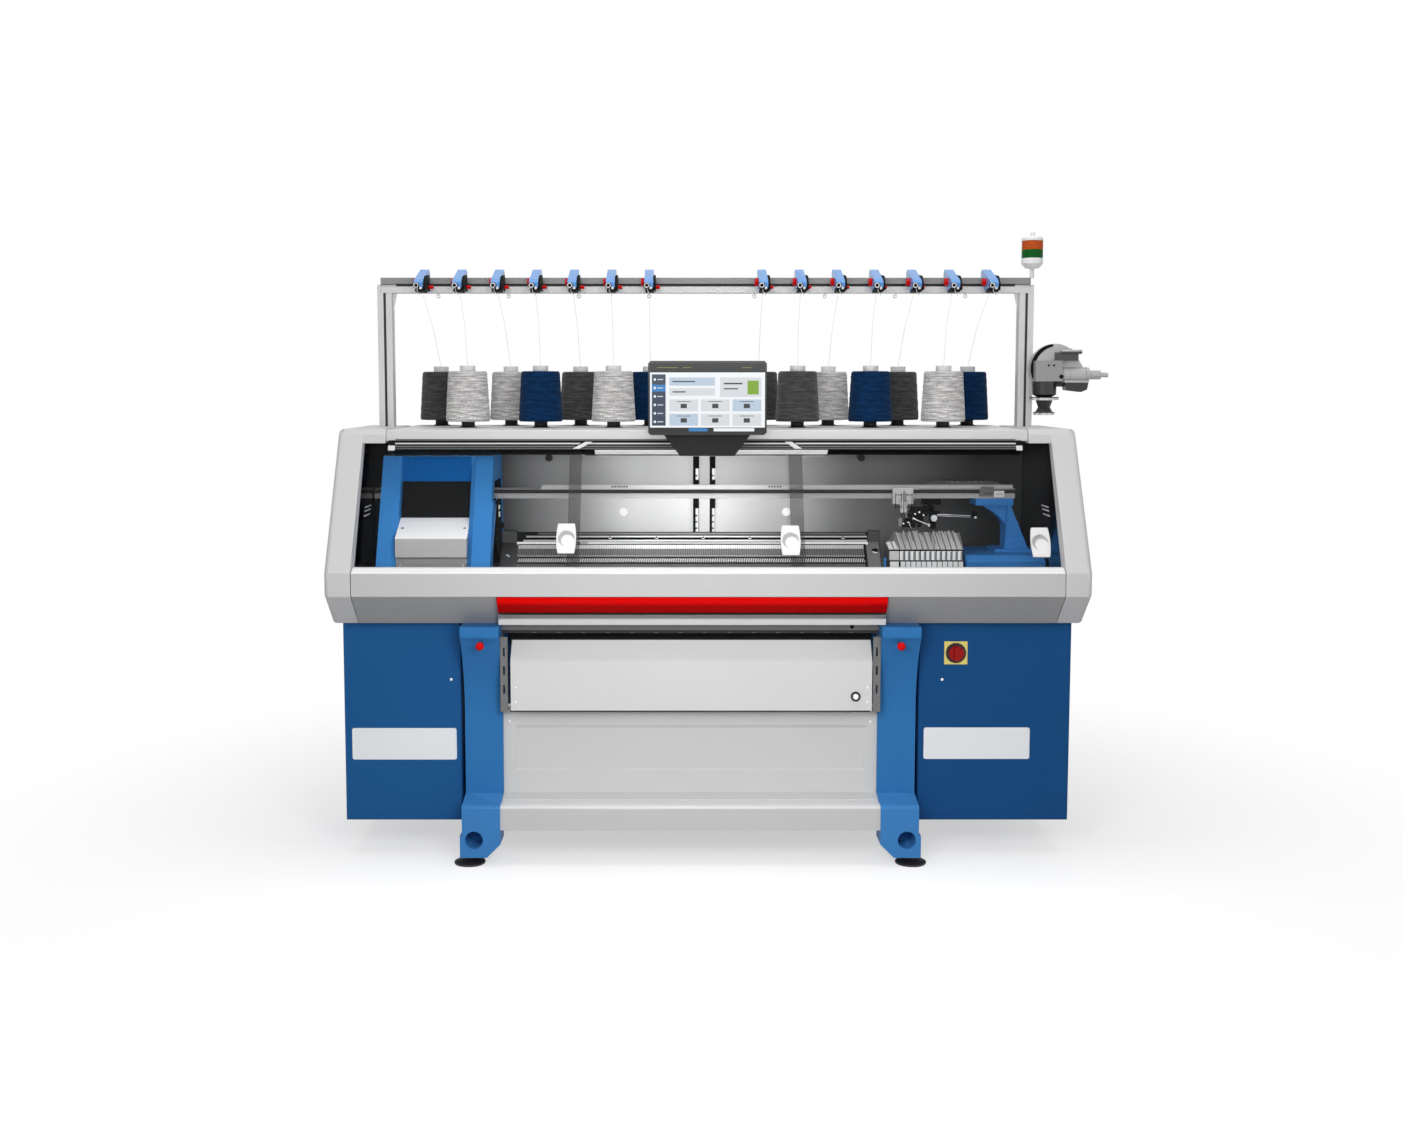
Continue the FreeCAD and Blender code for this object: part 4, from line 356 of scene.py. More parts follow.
class Shape:
    """Collects faces in machine millimetres and becomes one object."""

    def __init__(self):
        self.verts, self.faces, self.slots, self.smooth, self.uvs = [], [], [], [], []

    def add(self, verts, faces, slot=0, smooth=False, uvs=None):
        base = len(self.verts)
        self.verts += verts
        for i, corners in enumerate(faces):
            self.faces.append([base + k for k in corners])
            self.slots.append(slot)
            self.smooth.append(smooth)
            self.uvs.append(uvs[i] if uvs else None)

    def rims(self, verts, slot=0):
        """Solid between two rims with the same number of points, one after the other."""
        n = len(verts) // 2
        sides = [(i, (i + 1) % n, n + (i + 1) % n, n + i) for i in range(n)]
        self.add(verts, [tuple(range(n))[::-1], tuple(range(n, 2 * n))] + sides, slot)

    def boxes(self, *rows):
        """Boxes, each (x0, x1, y0, y1, z0, z1, slot)."""
        sides = [(0, 2, 3, 1), (4, 5, 7, 6), (0, 1, 5, 4), (2, 6, 7, 3), (0, 4, 6, 2), (1, 3, 7, 5)]
        for x0, x1, y0, y1, z0, z1, slot in rows:
            self.add([(x, y, z) for z in (z0, z1) for y in (y0, y1) for x in (x0, x1)], sides, slot)

    def block(self, verts, slot=0):
        """Solid of eight corners, four around its front and the four behind them."""
        sides = [(0, 1, 2, 3), (7, 6, 5, 4), (0, 4, 5, 1), (1, 5, 6, 2), (2, 6, 7, 3), (3, 7, 4, 0)]
        self.add(verts, sides, slot)

    def prism(self, rim, axis, a, b, slot=0):
        """Outline of pairs drawn out from a to b, along x (y, z pairs) or y (x, z pairs)."""
        ends = [[(d, *p) if axis == "x" else (p[0], d, p[1]) for p in rim] for d in (a, b)]
        self.rims(ends[0] + ends[1], slot)

    def lathe(self, profile, centre, axis="z", seg=32, slot=0, wobble=None):
        """Profile of (radius, height) pairs turned about an axis through centre."""
        v = []
        for j, (r, h) in enumerate(profile):
            for i, a in enumerate(circle(seg)):
                rr = r + (wobble(i, j) if wobble else 0.0)
                u, w = rr * math.cos(a), rr * math.sin(a)
                d = {"z": (u, w, h), "y": (u, h, w), "x": (h, u, w)}[axis]
                v.append((centre[0] + d[0], centre[1] + d[1], centre[2] + d[2]))
        faces, uvs = [], []
        run = [0.0]
        for (r0, h0), (r1, h1) in zip(profile, profile[1:]):
            run.append(run[-1] + math.hypot(r1 - r0, h1 - h0) / WRAP)
        last = len(profile) - 1
        for j in range(last):
            for i in range(seg):
                n = (i + 1) % seg
                faces.append((j * seg + i, j * seg + n, (j + 1) * seg + n, (j + 1) * seg + i))
                left, right = i / seg, (i + 1) / seg
                uvs.append([(left, run[j]), (right, run[j]), (right, run[j + 1]), (left, run[j + 1])])
        for j in (0, last):
            if profile[j][0] > 0.01:
                ring = list(range(j * seg, (j + 1) * seg))
                faces.append(ring[::-1] if j == 0 else ring)
                uvs.append([(0.0, 0.0)] * seg)
        self.add(v, faces, slot, True, uvs)

    def tube(self, points, r, seg=8, slot=0):
        """Round wire through points."""
        v = []
        for i, p in enumerate(points):
            before = Vector(points[max(0, i - 1)])
            after = Vector(points[min(len(points) - 1, i + 1)])
            forward = (after - before).normalized()
            side = forward.orthogonal() if i == 0 else side - forward * side.dot(forward)
            side.normalize()
            up = forward.cross(side)
            for a in circle(seg):
                v.append(tuple(Vector(p) + side * (r * math.cos(a)) + up * (r * math.sin(a))))
        faces = []
        for i in range(0, (len(points) - 1) * seg, seg):
            for k in range(seg):
                m = (k + 1) % seg
                faces.append((i + k, i + m, i + seg + m, i + seg + k))
        faces.append(tuple(range(seg))[::-1])
        faces.append(tuple(range(len(v) - seg, len(v))))
        self.add(v, faces, slot, True)

    def screw(self, x, y, z, r, slot=0):
        """Pan head with a round recess that faces the front."""
        self.lathe([(r, 0), (r, -1.2), (r * 0.8, -2.2), (r * 0.45, -2.2), (r * 0.42, -0.8), (0.02, -0.8)],
                   (x, y, z), "y", 14, slot)

    def make(self, name, body, mats, slot, bevel=0.0, replaces=()):
        data = bpy.data.meshes.new(name)
        data.from_pydata([place(p) for p in self.verts], [], self.faces)
        for m in mats:
            data.materials.append(m)
        layer = data.uv_layers.new(name="wrap")
        for poly, s, soft, uv in zip(data.polygons, self.slots, self.smooth, self.uvs):
            poly.material_index = s
            poly.use_smooth = soft
            if uv:
                for k, loop in enumerate(poly.loop_indices):
                    layer.data[loop].uv = uv[k]
        obj = new_object(name, data)
        if bevel:
            soften(obj, bevel, 40)
        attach(obj, body)
        if replaces:
            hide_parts(*replaces)


def dress(names, mat, bevel=0.0):
    """Give CAD nodes a material and soft edges."""
    for n in names.split():
        obj = nodes[n]
        if not obj.material_slots:
            obj.data.materials.append(mat)
        for s in obj.material_slots:
            s.material = mat
        if bevel:
            obj.modifiers.new("weld", "WELD").merge_threshold = 0.00002
            soften(obj, bevel, 35)


dress("side_shell_left side_shell_right", shell, 1.6)
dress("yarn_table", table_paint, 1.6)
dress("front_cover", face, 1.6)
dress("lower_covers", lower_grey, 1.2)
dress("base_crossbar", bar_paint, 1.2)
dress("lower_panel", panel_paint, 1.2)
dress("rear_panel fabric_cover", cover, 1.2)
dress("carriage_hood", hood_paint, 1.2)
dress("cabinet_left cabinet_right", cabinet_blue, 1.5)
dress("leg_left leg_right", blue, 1.5)
dress("carriage_bow", bow_blue, 2.0)
dress("rail_stands", stand_blue, 2.0)
dress("machine_bed display_bracket", dark, 1.0)
dress("cam_boxes", matt_black, 1.0)
dress("bed_ends", end_grey, 1.0)
dress("back_wall", wall)
dress("yarn_frame", alu, 0.8)
dress("wall_fittings", fittings, 0.8)
dress("door_rails", rail_black, 0.6)
dress("carrier_rails", rail_alu, 0.6)
dress("door_left door_middle door_right", pane)
dress("handle_left handle_middle handle_right", white, 1.5)
dress("needle_bed_front", bed_dark)
dress("needle_bed_rear clamp_unit guide_rails", steel)
dress("comb_rails", chrome)
dress("cover_lock", black, 0.5)
dress("red_bar", bar_red, 1.5)
dress("pull_knob_left pull_knob_right unit_knobs", red, 0.8)
dress("main_switch_knob", switch_red, 0.8)
dress("main_switch_plate", yellow, 0.6)
dress("levelling_feet", black, 1.0)
dress("takedown_roller_front takedown_roller_rear", rubber)
dress("yarn_carrier_1", carrier_grey, 0.8)
dress("yarn_carrier_2", matt_black, 0.8)
dress("side_feeder", feeder_grey, 0.8)
dress("feeder_wheels", wheel_black, 0.5)
dress("yarn_units", unit_blue, 0.8)
dress("display", black_gloss, 2.0)
dress("work_light", dark, 0.6)
dress("beacon_body", white, 1.0)
dress("beacon_green", lens_green, 0.5)
dress("beacon_amber", lens_amber, 0.5)
dress("cones_light", yarn_light)
dress("cones_dark", yarn_dark)
dress("cones_navy", yarn_navy)
dress("cone_stands", black)

# Light that passes three panes would run out of bounces and leave a black patch.
for n in ("door_left", "door_middle", "door_right"):
    nodes[n].visible_shadow = False


# ---------------------------------------------------------------- yarn cones
TABLE_Z = 1386.0
CONE_Z0, CONE_Z1 = TABLE_Z + 21.0, TABLE_Z + 193.0
CONE_RADIUS, CONE_TAPER, CONE_GAP = 76.2, 10.0, 251.0
front_cones = sorted((s * (317.0 + CONE_GAP * k), 546.0) for s in (-1, 1) for k in range(3))
back_cones = sorted((s * (195.0 + CONE_GAP * k), 788.0) for s in (-1, 1) for k in range(4))


def package(shape, x, y, seed):
    """Cross-wound package: soft shoulders, strands that stand out a little."""
    r = random.Random(seed)
    lines, seg = 46, 72             # strands up the package, sides around it
    waves = [(r.uniform(0.10, 0.28), r.randint(2, 5), r.uniform(0, TAU), r.uniform(0.5, 1.4))
             for _ in range(5)]
    shoulder = {0: 4.0, 1: 1.0, lines - 2: 1.6, lines - 1: 5.0}

    def relief(i, row):
        j = row - 1
        if j < 2 or j > lines - 3:
            return 0.0
        out = 0.0
        for amount, around, phase, climb in waves:
            out += amount * math.sin(around * TAU * i / seg + phase + climb * j)
        return out + 0.25 * math.sin(2.1 * j)

    profile = [(24.0, CONE_Z0 + 1.0)]
    for j in range(lines):
        t = j / (lines - 1)
        radius = CONE_RADIUS - CONE_TAPER * t - shoulder.get(j, 0.0)
        profile.append((radius, CONE_Z0 + (CONE_Z1 - CONE_Z0) * t))
    profile.append((26.8, CONE_Z1 - 1.0))
    shape.lathe(profile, (x, y, 0), "z", seg, 0, relief)


for group, mat, fronts, backs in (("cones_light", yarn_light, (0, 2, 5), (1, 5)),
                                  ("cones_dark", yarn_dark, (3,), (0, 2, 4, 6)),
                                  ("cones_navy", yarn_navy, (1, 4), (3, 7))):
    cones = Shape()
    spots = [front_cones[i] for i in fronts] + [back_cones[i] for i in backs]
    for k, (x, y) in enumerate(spots):
        package(cones, x, y, 17 * k + len(group))
    cones.make("wound_" + group, "base", [mat], group.replace("cones", "yarn"), replaces=(group,))

stands = Shape()
for x, y in front_cones + back_cones:
    stands.lathe([(30, TABLE_Z), (30, TABLE_Z + 2.2), (28.6, TABLE_Z + 3), (23, TABLE_Z + 3),
                  (22.5, CONE_Z0 - 2), (26, CONE_Z0 - 0.8), (26, CONE_Z0)], (x, y, 0), "z", 28, 0)
    stands.lathe([(23, CONE_Z0), (26.4, CONE_Z1 - 4), (26.6, CONE_Z1 + 18), (25.8, CONE_Z1 + 19),
                  (24, CONE_Z1 + 18.6), (23.5, CONE_Z1 + 2)], (x, y, 0), "z", 28, 1)
stands.make("cone_feet", "base", [black, tube_paper], "black_plastic", replaces=("cone_stands",))


# ---------------------------------------------------------------- screws and plates
screws = Shape()
for x, y, z, r in ((-828, 150, 583, 5), (760, 150, 583, 5), (-610, 60, 575, 4), (-610, 60, 527, 4),
                   (508, 60, 575, 4), (508, 60, 527, 4), (-639, 140, 448, 5), (528, 140, 448, 5)):
    screws.screw(x, y, z, r)
screws.make("cover_screws", "base", [chrome], "chrome")

plates = Shape()
CORNER = 7.0
for x0, x1, z0, z1 in ((-1152, -813, 319, 423), (703, 1047, 321, 425)):
    x0, x1, z0, z1 = x0 + CORNER, x1 - CORNER, z0 + CORNER, z1 - CORNER
    rim = []
    for cx, cz, a0 in ((x1, z1, 0.0), (x0, z1, 0.25), (x0, z0, 0.5), (x1, z0, 0.75)):
        for k in range(5):
            a = TAU * (a0 + 0.25 * k / 4)
            rim.append((cx + CORNER * math.cos(a), cz + CORNER * math.sin(a)))
    plates.prism(rim, "y", 148.4, 150.0)
plates.make("cabinet_plates", "base", [plate_white], "white_plastic", 0.4)


# ---------------------------------------------------------------- display
GLASS_Y = 175.0
WHITE, BLACK, GREY, BLUE, NAVY, GREEN, PALE, INK, OCHRE = range(9)
ui_mats = [screen_colour("ui_" + name, colour, strength) for name, colour, strength in (
    ("white", (0.84, 0.87, 0.90), 1.0), ("black", (0.004, 0.004, 0.005), 0.4),
    ("grey", (0.68, 0.71, 0.74), 0.95), ("blue", (0.02, 0.26, 0.66), 0.75),
    ("navy", (0.03, 0.055, 0.11), 0.75), ("green", (0.25, 0.48, 0.01), 0.75),
    ("pale", (0.50, 0.60, 0.72), 0.95), ("ink", (0.05, 0.06, 0.07), 0.6),
    ("ochre", (0.28, 0.26, 0.03), 0.6))]
ui = Shape()


def patches(*rows):
    """Flat patches of the screen's image; lift is how far each stands off the glass."""
    for x0, x1, z0, z1, slot, lift in rows:
        ui.boxes((x0, x1, GLASS_Y - lift, GLASS_Y, z0, z1, slot))


patches((-184, 184, 1382, 1602, BLACK, 0.10), (-184, 184, 1396, 1572, WHITE, 0.20),
        (-178, -134, 1402, 1566, NAVY, 0.30))
for k in range(6):
    z = 1556 - 27 * k
    patches((-178, -134, z - 18, z + 4, BLUE if k == 1 else NAVY, 0.35),
            (-172, -165, z - 10, z - 3, WHITE, 0.40), (-160, -142, z - 8, z - 5, GREY, 0.40))
patches((40, 172, 1494, 1556, GREY, 0.30), (128, 164, 1502, 1546, GREEN, 0.40),
        (52, 112, 1534, 1539, INK, 0.40), (52, 98, 1518, 1522, INK, 0.40))
for row in range(2):
    for col in range(3):
        x, z = -122 + 101 * col, 1402 + 46 * row
        patches((x, x + 92, z, z + 38, PALE if (row + col) % 3 == 0 else GREY, 0.30),
                (x + 36, x + 56, z + 10, z + 24, INK, 0.40), (x + 24, x + 68, z + 30, z + 32, INK, 0.40))
patches((-122, 24, 1530, 1556, PALE, 0.30), (-112, -40, 1541, 1545, INK, 0.40),
        (-122, 24, 1498, 1522, GREY, 0.30), (-112, -70, 1508, 1512, INK, 0.40),
        (-60, 0, 1384, 1394, BLUE, 0.30), (20, 150, 1384, 1394, WHITE, 0.30),
        (-160, -96, 1586, 1589, OCHRE, 0.30), (-80, -52, 1586, 1589, OCHRE, 0.30),
        (110, 140, 1586, 1589, OCHRE, 0.30))
ui.make("screen_image", "screen", ui_mats, "screen_plastic")


# ---------------------------------------------------------------- inside the shells
liner = Shape()
rim = [(70, 963), (262, 1347), (312, 1347), (640, 1347), (640, 900), (70, 900)]
for side in (-1, 1):
    wall_x, pane_x, bar_x = (side * d for d in (1117, 1115.8, 1114.8))
    liner.prism(rim, "x", min(wall_x, pane_x), max(wall_x, pane_x), 0)
    # Pale bars on the dark pane: painted reflections.
    for z, y in ((1120, 235), (1132, 245), (1105, 225)):
        liner.boxes((min(pane_x, bar_x), max(pane_x, bar_x), y, y + 90, z, z + 4, 1))
liner.make("side_window_panes", "base", [black_gloss, plate_white], "black_plastic")


# ---------------------------------------------------------------- needle beds
SLOPE = 83.0 / 90.0
LEAN = math.atan(SLOPE)
CL, SL = math.cos(LEAN), math.sin(LEAN)


def on_bed(x, y, h):
    """Point h above the bed's slope, over the line where the slope is y back."""
    return (x, y - h * SL, 920.0 + (y - 232.0) * SLOPE + h * CL)


def bed_slab(shape, x0, x1, y0, y1, h, slot, skew=0.0):
    """Raised strip that lies on the front bed; skew moves its upper end sideways."""
    corners = ((x0, y0), (x1, y0), (x1 + skew, y1), (x0 + skew, y1))
    shape.rims([on_bed(x, y, up) for up in (0, h) for x, y in corners], slot)


NEEDLE_X0, NEEDLE_COUNT, NEEDLE_PITCH = -624.0, 153, 7.5
# One needle's track on the bed: x0, x1, y0, y1, height, slot and skew of each piece
NEEDLE = ((0, 6.3, 308.0, 320.0, 1.6, 0), (0, 4.6, 285.8, 307.5, 1.3, 1), (0.8, 4.6, 282.4, 285.4, 2.8, 0),
          (2.0, 5.2, 264.6, 276.0, 2.6, 0, 4.0), (0, 4.8, 276.8, 281.6, 2.2, 2),
          (0, 4.8, 259.6, 263.8, 2.2, 2), (0, 4.6, 236.0, 258.8, 1.3, 1))
needles = Shape()
for i in range(NEEDLE_COUNT):
    x = NEEDLE_X0 + i * NEEDLE_PITCH
    for x0, x1, *strip in NEEDLE:
        bed_slab(needles, x + x0, x + x1, *strip)
needles.make("needle_row_front", "base", [pale, track_grey, matt_black], "steel")

rods = Shape()
rods.boxes((-600, 534, 329.4, 331.7, 1020.6, 1024.4, 2), (-600, 534, 329.4, 331.7, 1033.0, 1036.0, 2),
           (-600, 534, 327.6, 329.8, 1009.4, 1011.6, 2), (-630, 537, 331.7, 332.9, 1004.6, 1044.6, 2),
           (-560, 530, 330.9, 331.7, 1033.0, 1041.6, 1), (-626, 530, 321.0, 322.4, 1001.0, 1005.0, 2))
rods.tube([(-600, 330.6, 1028.8), (534, 330.6, 1028.8)], 2.7, 10, 0)
rods.tube([(-610, 330.2, 1015.2), (534, 330.2, 1015.2)], 3.0, 10, 0)
for x in range(-480, 451, 155):
    rods.boxes((x, x + 9, 326.0, 331.0, 1021.0, 1024.5, 0), (x + 2, x + 6, 328.0, 331.0, 1018.0, 1031.0, 2))
rods.make("stitch_comb_bars", "base", [pale, track_grey, matt_black], "chrome", 0.2)

ends = Shape()
bed_slab(ends, 521.0, 529.0, 234.0, 320.0, 3.6, 0)
bed_slab(ends, 529.0, 537.4, 234.0, 320.0, 2.6, 1)
bed_slab(ends, 537.6, 572.0, 236.0, 318.0, 1.6, 1)
BUTTON_X, BUTTON_Y, BUTTON_R = 558.5, 300.5, 11.6


def on_button(r, a, h, shift=0.0):
    """Point of the round button at the bed's end."""
    return on_bed(BUTTON_X + shift + r * math.cos(a), BUTTON_Y + r * CL * math.sin(a), h)


rim = [on_button(BUTTON_R, a, h) for h in (2.0, 1.2) for a in circle(24)]
ends.add(rim, [tuple(range(24))] + [(k, 24 + k, 24 + (k + 1) % 24, (k + 1) % 24) for k in range(24)], 0)
moon = [on_button(r, math.radians(200 + 15 * k), 2.6, shift)
        for k in range(9) for r, shift in ((11.0, 0.0), (6.4, 1.5))]
ends.add(moon, [(2 * k, 2 * k + 2, 2 * k + 3, 2 * k + 1) for k in range(8)], 2)
bed_slab(ends, -662, -656, 286.0, 289.0, 1.8, 2)
bed_slab(ends, -655, -651, 282.0, 286.0, 1.8, 2)
ends.make("bed_end_trim", "base", [matt_black, end_grey, plate_white], "dark_paint", 0.3)

clamps = Shape()
lamella = random.Random(5)
PACKS, STRIPS = 13, 4           # packs of lamellae, and lamellae in each
PACK_STEP = (838.0 - 594.0) / PACKS
for i in range(PACKS):
    for k in range(STRIPS):
        x = 596.0 + i * PACK_STEP + k * PACK_STEP / STRIPS
        low = x < 628
        z1 = lamella.uniform(1012, 1024) if low else lamella.uniform(1041, 1053)
        y1 = 252.0 if low else 299.0 + lamella.uniform(-4, 3)
        upper = x - 8.0
        clamps.block([(x, 229.5, 996.5), (x + 3.1, 229.5, 996.5), (upper + 3.1, y1, z1), (upper, y1, z1),
                      (x, 236.0, 992.0), (x + 3.1, 236.0, 992.0),
                      (upper + 3.1, y1 + 6, z1 - 7), (upper, y1 + 6, z1 - 7)], 1 if k == STRIPS - 1 else 0)
clamps.boxes((594, 838, 228.6, 230.0, 992.6, 996.8, 3), (594, 838, 229.4, 230.0, 937.0, 992.6, 3),
             (596, 627, 228.4, 229.4, 962.0, 991.6, 0), (598, 627, 228.4, 229.4, 938.0, 956.6, 2),
             (598, 838, 228.2, 229.4, 957.4, 959.4, 1), (579.0, 587.0, 236.0, 240.0, 936.0, 968.0, 4))
for i in range(12):
    x = 630.0 + 17.2 * i
    clamps.boxes((x, min(837, x + 14.6), 228.4, 229.4, 962.0, 991.6, 2),
                 (x + 3.0, min(837, x + 17.6), 228.4, 229.4, 938.0, 956.6, 2),
                 (x + 9.4, min(836, x + 14.2), 227.8, 228.4, 963.0, 990.6, 1))
clamps.make("clamp_lamellae", "base", [pale, middle_grey, plate_white, matt_black, stand_blue], "steel", 0.2)


# ---------------------------------------------------------------- door track, light bar and carrier rails
DOOR_LEAN = math.atan(0.5)
LS, LC = math.sin(DOOR_LEAN), math.cos(DOOR_LEAN)
DOOR_Y, DOOR_Z = 62.0, 961.0    # foot of the leaning door plane


def lean(u, w):
    """Point of the leaning door plane: u up along it, w behind it."""
    return (DOOR_Y + w * LC + u * LS, DOOR_Z - w * LS + u * LC)


def lean_bars(shape, *rows):
    """Bars that lie on the door plane, each (x0, x1, u0, u1, w0, w1, slot)."""
    for x0, x1, u0, u1, w0, w1, slot in rows:
        shape.prism([lean(u0, w0), lean(u1, w0), lean(u1, w1), lean(u0, w1)], "x", x0, x1, slot)


track = Shape()
lean_bars(track, (-1015, 1005, 402.6, 438.0, -6.5, -5.05, 0), (-1015, 1005, 433.2, 438.6, -7.6, -6.5, 1),
          (-1015, 1005, 420.4, 424.7, -7.8, -6.5, 2), (-1015, 1005, 409.4, 414.6, -7.4, -6.5, 1),
          (-1015, 1005, 402.6, 405.6, -7.2, -6.5, 1))
for low, high in (((-442, -418), (-405, -381)), ((287, 311), (258, 282))):
    outline = ((low[0], 403.0), (low[1], 403.0), (high[1], 428.0), (high[0], 428.0))
    pad = [(x, *lean(u, w)) for w in (-9.0, -7.9) for x, u in outline]
    track.block(pad)
    track.add([(x * k + (3 if x > 0 else -3), y - 0.6, z)
               for (x, y, z), k in zip(pad, (0.985, 0.985, 0.97, 0.97))], [(0, 1, 2, 3)], 2)
for x0, x1 in ((-1037, -1015), (1005, 1025)):
    lean_bars(track, (x0, x1, 415.0, 433.0, -9.0, -5.05, 0), (x0, x1, 397.6, 414.4, -9.5, -5.05, 2))
track.make("top_track_trim", "base", [rail_black, track_grey, pale], "aluminium", 0.3)

# Tinted strips on the overlaps: painted shade over the stacked panes.
for name, x0, x1, w, body in (("overlap_left", -447, -408, 17.2, "middle_door"),
                              ("overlap_right", 268, 312, 35.2, "right_door")):
    strip = Shape()
    lean_bars(strip, (x0, x1, -6.0, 404.0, w, w + 0.6, 0), (x0, x0 + 1.2, -6.0, 401.0, w - 0.3, w, 0))
    strip.make(name, body, [overlap], "door_glass")

bar = Shape()
lean_bars(bar, (-366, 394, 402.6, 405.9, 6.2, 17.0, 0), (-366, 394, 402.6, 405.9, 24.2, 35.0, 0))
bar.boxes((-392, -360, 300.6, 301.5, 1299.0, 1313.6, 2), (222, 262, 300.6, 301.5, 1299.0, 1313.6, 2),
          (388, 400, 300.6, 301.5, 1299.0, 1313.6, 2), (-366, 394, 302.0, 303.0, 1303.0, 1313.0, 0),
          (-398, 398, 301.6, 303.0, 1299.0, 1302.6, 1), (-366, 394, 304.0, 323.0, 1298.0, 1299.0, 0),
          (-398, -368.15, 301.4, 303.0, 1302.6, 1314.0, 2), (368.15, 398, 301.4, 303.0, 1302.6, 1314.0, 2))
for x in (-345, 345):
    bar.prism([(x - 30, 1316), (x + 26, 1316), (x + 14, 1334), (x - 46, 1334)], "y", 298.0, 303.0, 2)
bar.make("light_bar_front", "base", [strip_lamp, middle_grey, track_grey], "lamp_white", 0.3)

upstand = Shape()
upstand.prism([(-560, 1182), (1028, 1182), (1028, 1199), (-548, 1199)], "y", 381.6, 384.0, 0)
upstand.boxes((-560, 1028, 380.9, 381.6, 1196.8, 1199.0, 1))
for x0, count in ((-318, 6), (207, 5)):
    for k in range(count):
        x = x0 + 9.5 * k
        upstand.prism([(x, 1189), (x + 5, 1189), (x + 8, 1195), (x + 3, 1195)], "y", 380.9, 381.6, 2)
for k in range(26):
    x = -520 + 60 * k
    upstand.boxes((x, x + 2.0, 381.0, 381.6, 1184.0, 1186.0, 1))
upstand.make("carrier_rail_upstand", "base", [rail_pale, middle_grey, matt_black], "aluminium", 0.2)


# ---------------------------------------------------------------- wall columns, hood, handles and carriers
columns = Shape()
for x0, x1 in ((-42, -21), (16, 36)):
    parts = [(x0, x1, z0, z1) for z0, z1 in ((905, 1015), (1100, 1200), (1240, 1345))]
    for z0, z1 in ((1015, 1100), (1200, 1240)):
        parts += [(x0, x0 + 9, z0, z1), (x1 - 2, x1, z0, z1)]
        parts += [(x0 + 9, x0 + 15, z, z + 5) for z in range(z0 + 12, z1 - 8, 22)]
    columns.boxes(*[(a, b, 616.2, 618.0, low, high, 0) for a, b, low, high in parts])
columns.make("pillar_columns", "base", [matt_black], "dark_paint", 0.2)

hood = Shape()
for x in (-994.0, -790.5):
    hood.lathe([(4.6, -1.5), (4.6, 1.0), (3.6, 1.6), (1.8, 1.6), (1.6, 0.4), (0.02, 0.4)],
               (x, 234.5, 1066.6), "z", 14, 0)
    hood.screw(x - 1.5, 192.0, 948.0, 4.0, 1)
hood.make("hood_screws", "carriage", [matt_black, chrome], "dark_paint")

cams = Shape()
cams.prism([(236, 1000), (352, 1150), (352, 1168), (228, 1000)], "x", -700.8, -699.0, 2)
cams.boxes((-700.8, -692.0, 330.0, 350.0, 1052.0, 1150.0, 0),
           (-700.8, -684.0, 332.0, 348.0, 1054.0, 1082.0, 0),
           (-692.0, -688.0, 340, 350, 1094, 1112, 1), (-692.0, -688.0, 336, 346, 1120, 1134, 1))
cams.lathe([(13, -4), (14, 0), (13, 4), (6, 5)], (-688, 340, 1066), "y", 16, 0)
cams.make("carriage_cam_side", "carriage", [matt_black, plate_white, unit_blue], "dark_paint", 0.4)


def crescent(shape, x, w, r_out, r_in, shift, a0, a1, slot):
    """Flat crescent on the leaning plane: painted shade on the shadow side of a finger cup."""
    steps, cup_u = 20, 92.0
    pts = []
    for k in range(steps + 1):
        a = math.radians(a0 + (a1 - a0) * k / steps)
        for r, s in ((r_out, 0.0), (r_in, shift)):
            pts.append((x + s + r * math.cos(a), *lean(cup_u - 1.3 * s + r * math.sin(a), w)))
    shape.add(pts, [(2 * k, 2 * k + 2, 2 * k + 3, 2 * k + 1) for k in range(steps)], slot)


# Each cup gets two flat crescents of painted shade: grey on its upper left, paler grey round its lower rim.
for name, x, w, body in (("cup_left", -449.5, -2.0, "left_door"), ("cup_middle", 264.5, 16.0, "middle_door"),
                         ("cup_right", 1064.5, 34.0, "right_door")):
    cups = Shape()
    crescent(cups, x, w - 0.5, 26.4, 20.5, 4.0, 15, 255, 0)
    crescent(cups, x, w - 0.6, 26.4, 25.0, 0.6, 255, 375, 1)
    cups.make(name, body, [cup_grey, cup_pale], "white_plastic")

lock = Shape()
lock.lathe([(9.0, 0), (9.0, -1.0), (7.6, -1.6), (7.0, -0.8), (4.0, -0.8), (3.6, -1.6), (0.02, -1.6)],
           (470, 54.9, 546), "y", 20, 0)
lock.make("lock_core", "lock", [chrome], "chrome")

sill = Shape()
for k in range(14):
    x = -560 + 78 * k
    sill.boxes((x, x + 12, 117.4, 118.4, 741.0, 742.6, 0))
# The long black strip low on the lower panel is a painted shadow line under the fabric cover; the grey strips
# are marks on the sill.
sill.boxes((-640, 540, 117.6, 118.4, 749.2, 750.2, 0), (-638, 528, 137.4, 139.4, 479.0, 485.0, 1))
sill.lathe([(6.5, 0), (6.5, -1.4), (5.0, -1.8), (4.4, 0.6), (0.02, 0.6)], (463, 118.6, 760), "y", 18, 1)
sill.make("sill_marks_and_shadow_line", "base", [track_grey, matt_black], "dark_paint")

clip = Shape()
clip.prism([(916, 1160), (958, 1160), (962, 1168), (962, 1192), (924, 1192), (916, 1184)],
           "y", 368.0, 375.6, 0)
clip.boxes((964, 998, 370.0, 375.6, 1158.0, 1179.0, 1), (968, 994, 369.4, 370.0, 1166.0, 1168.0, 0),
           (932, 956, 367.2, 368.0, 1170.0, 1172.0, 2))
clip.make("rail_end_clip", "base", [track_grey, pale, matt_black], "dark_paint", 0.4)

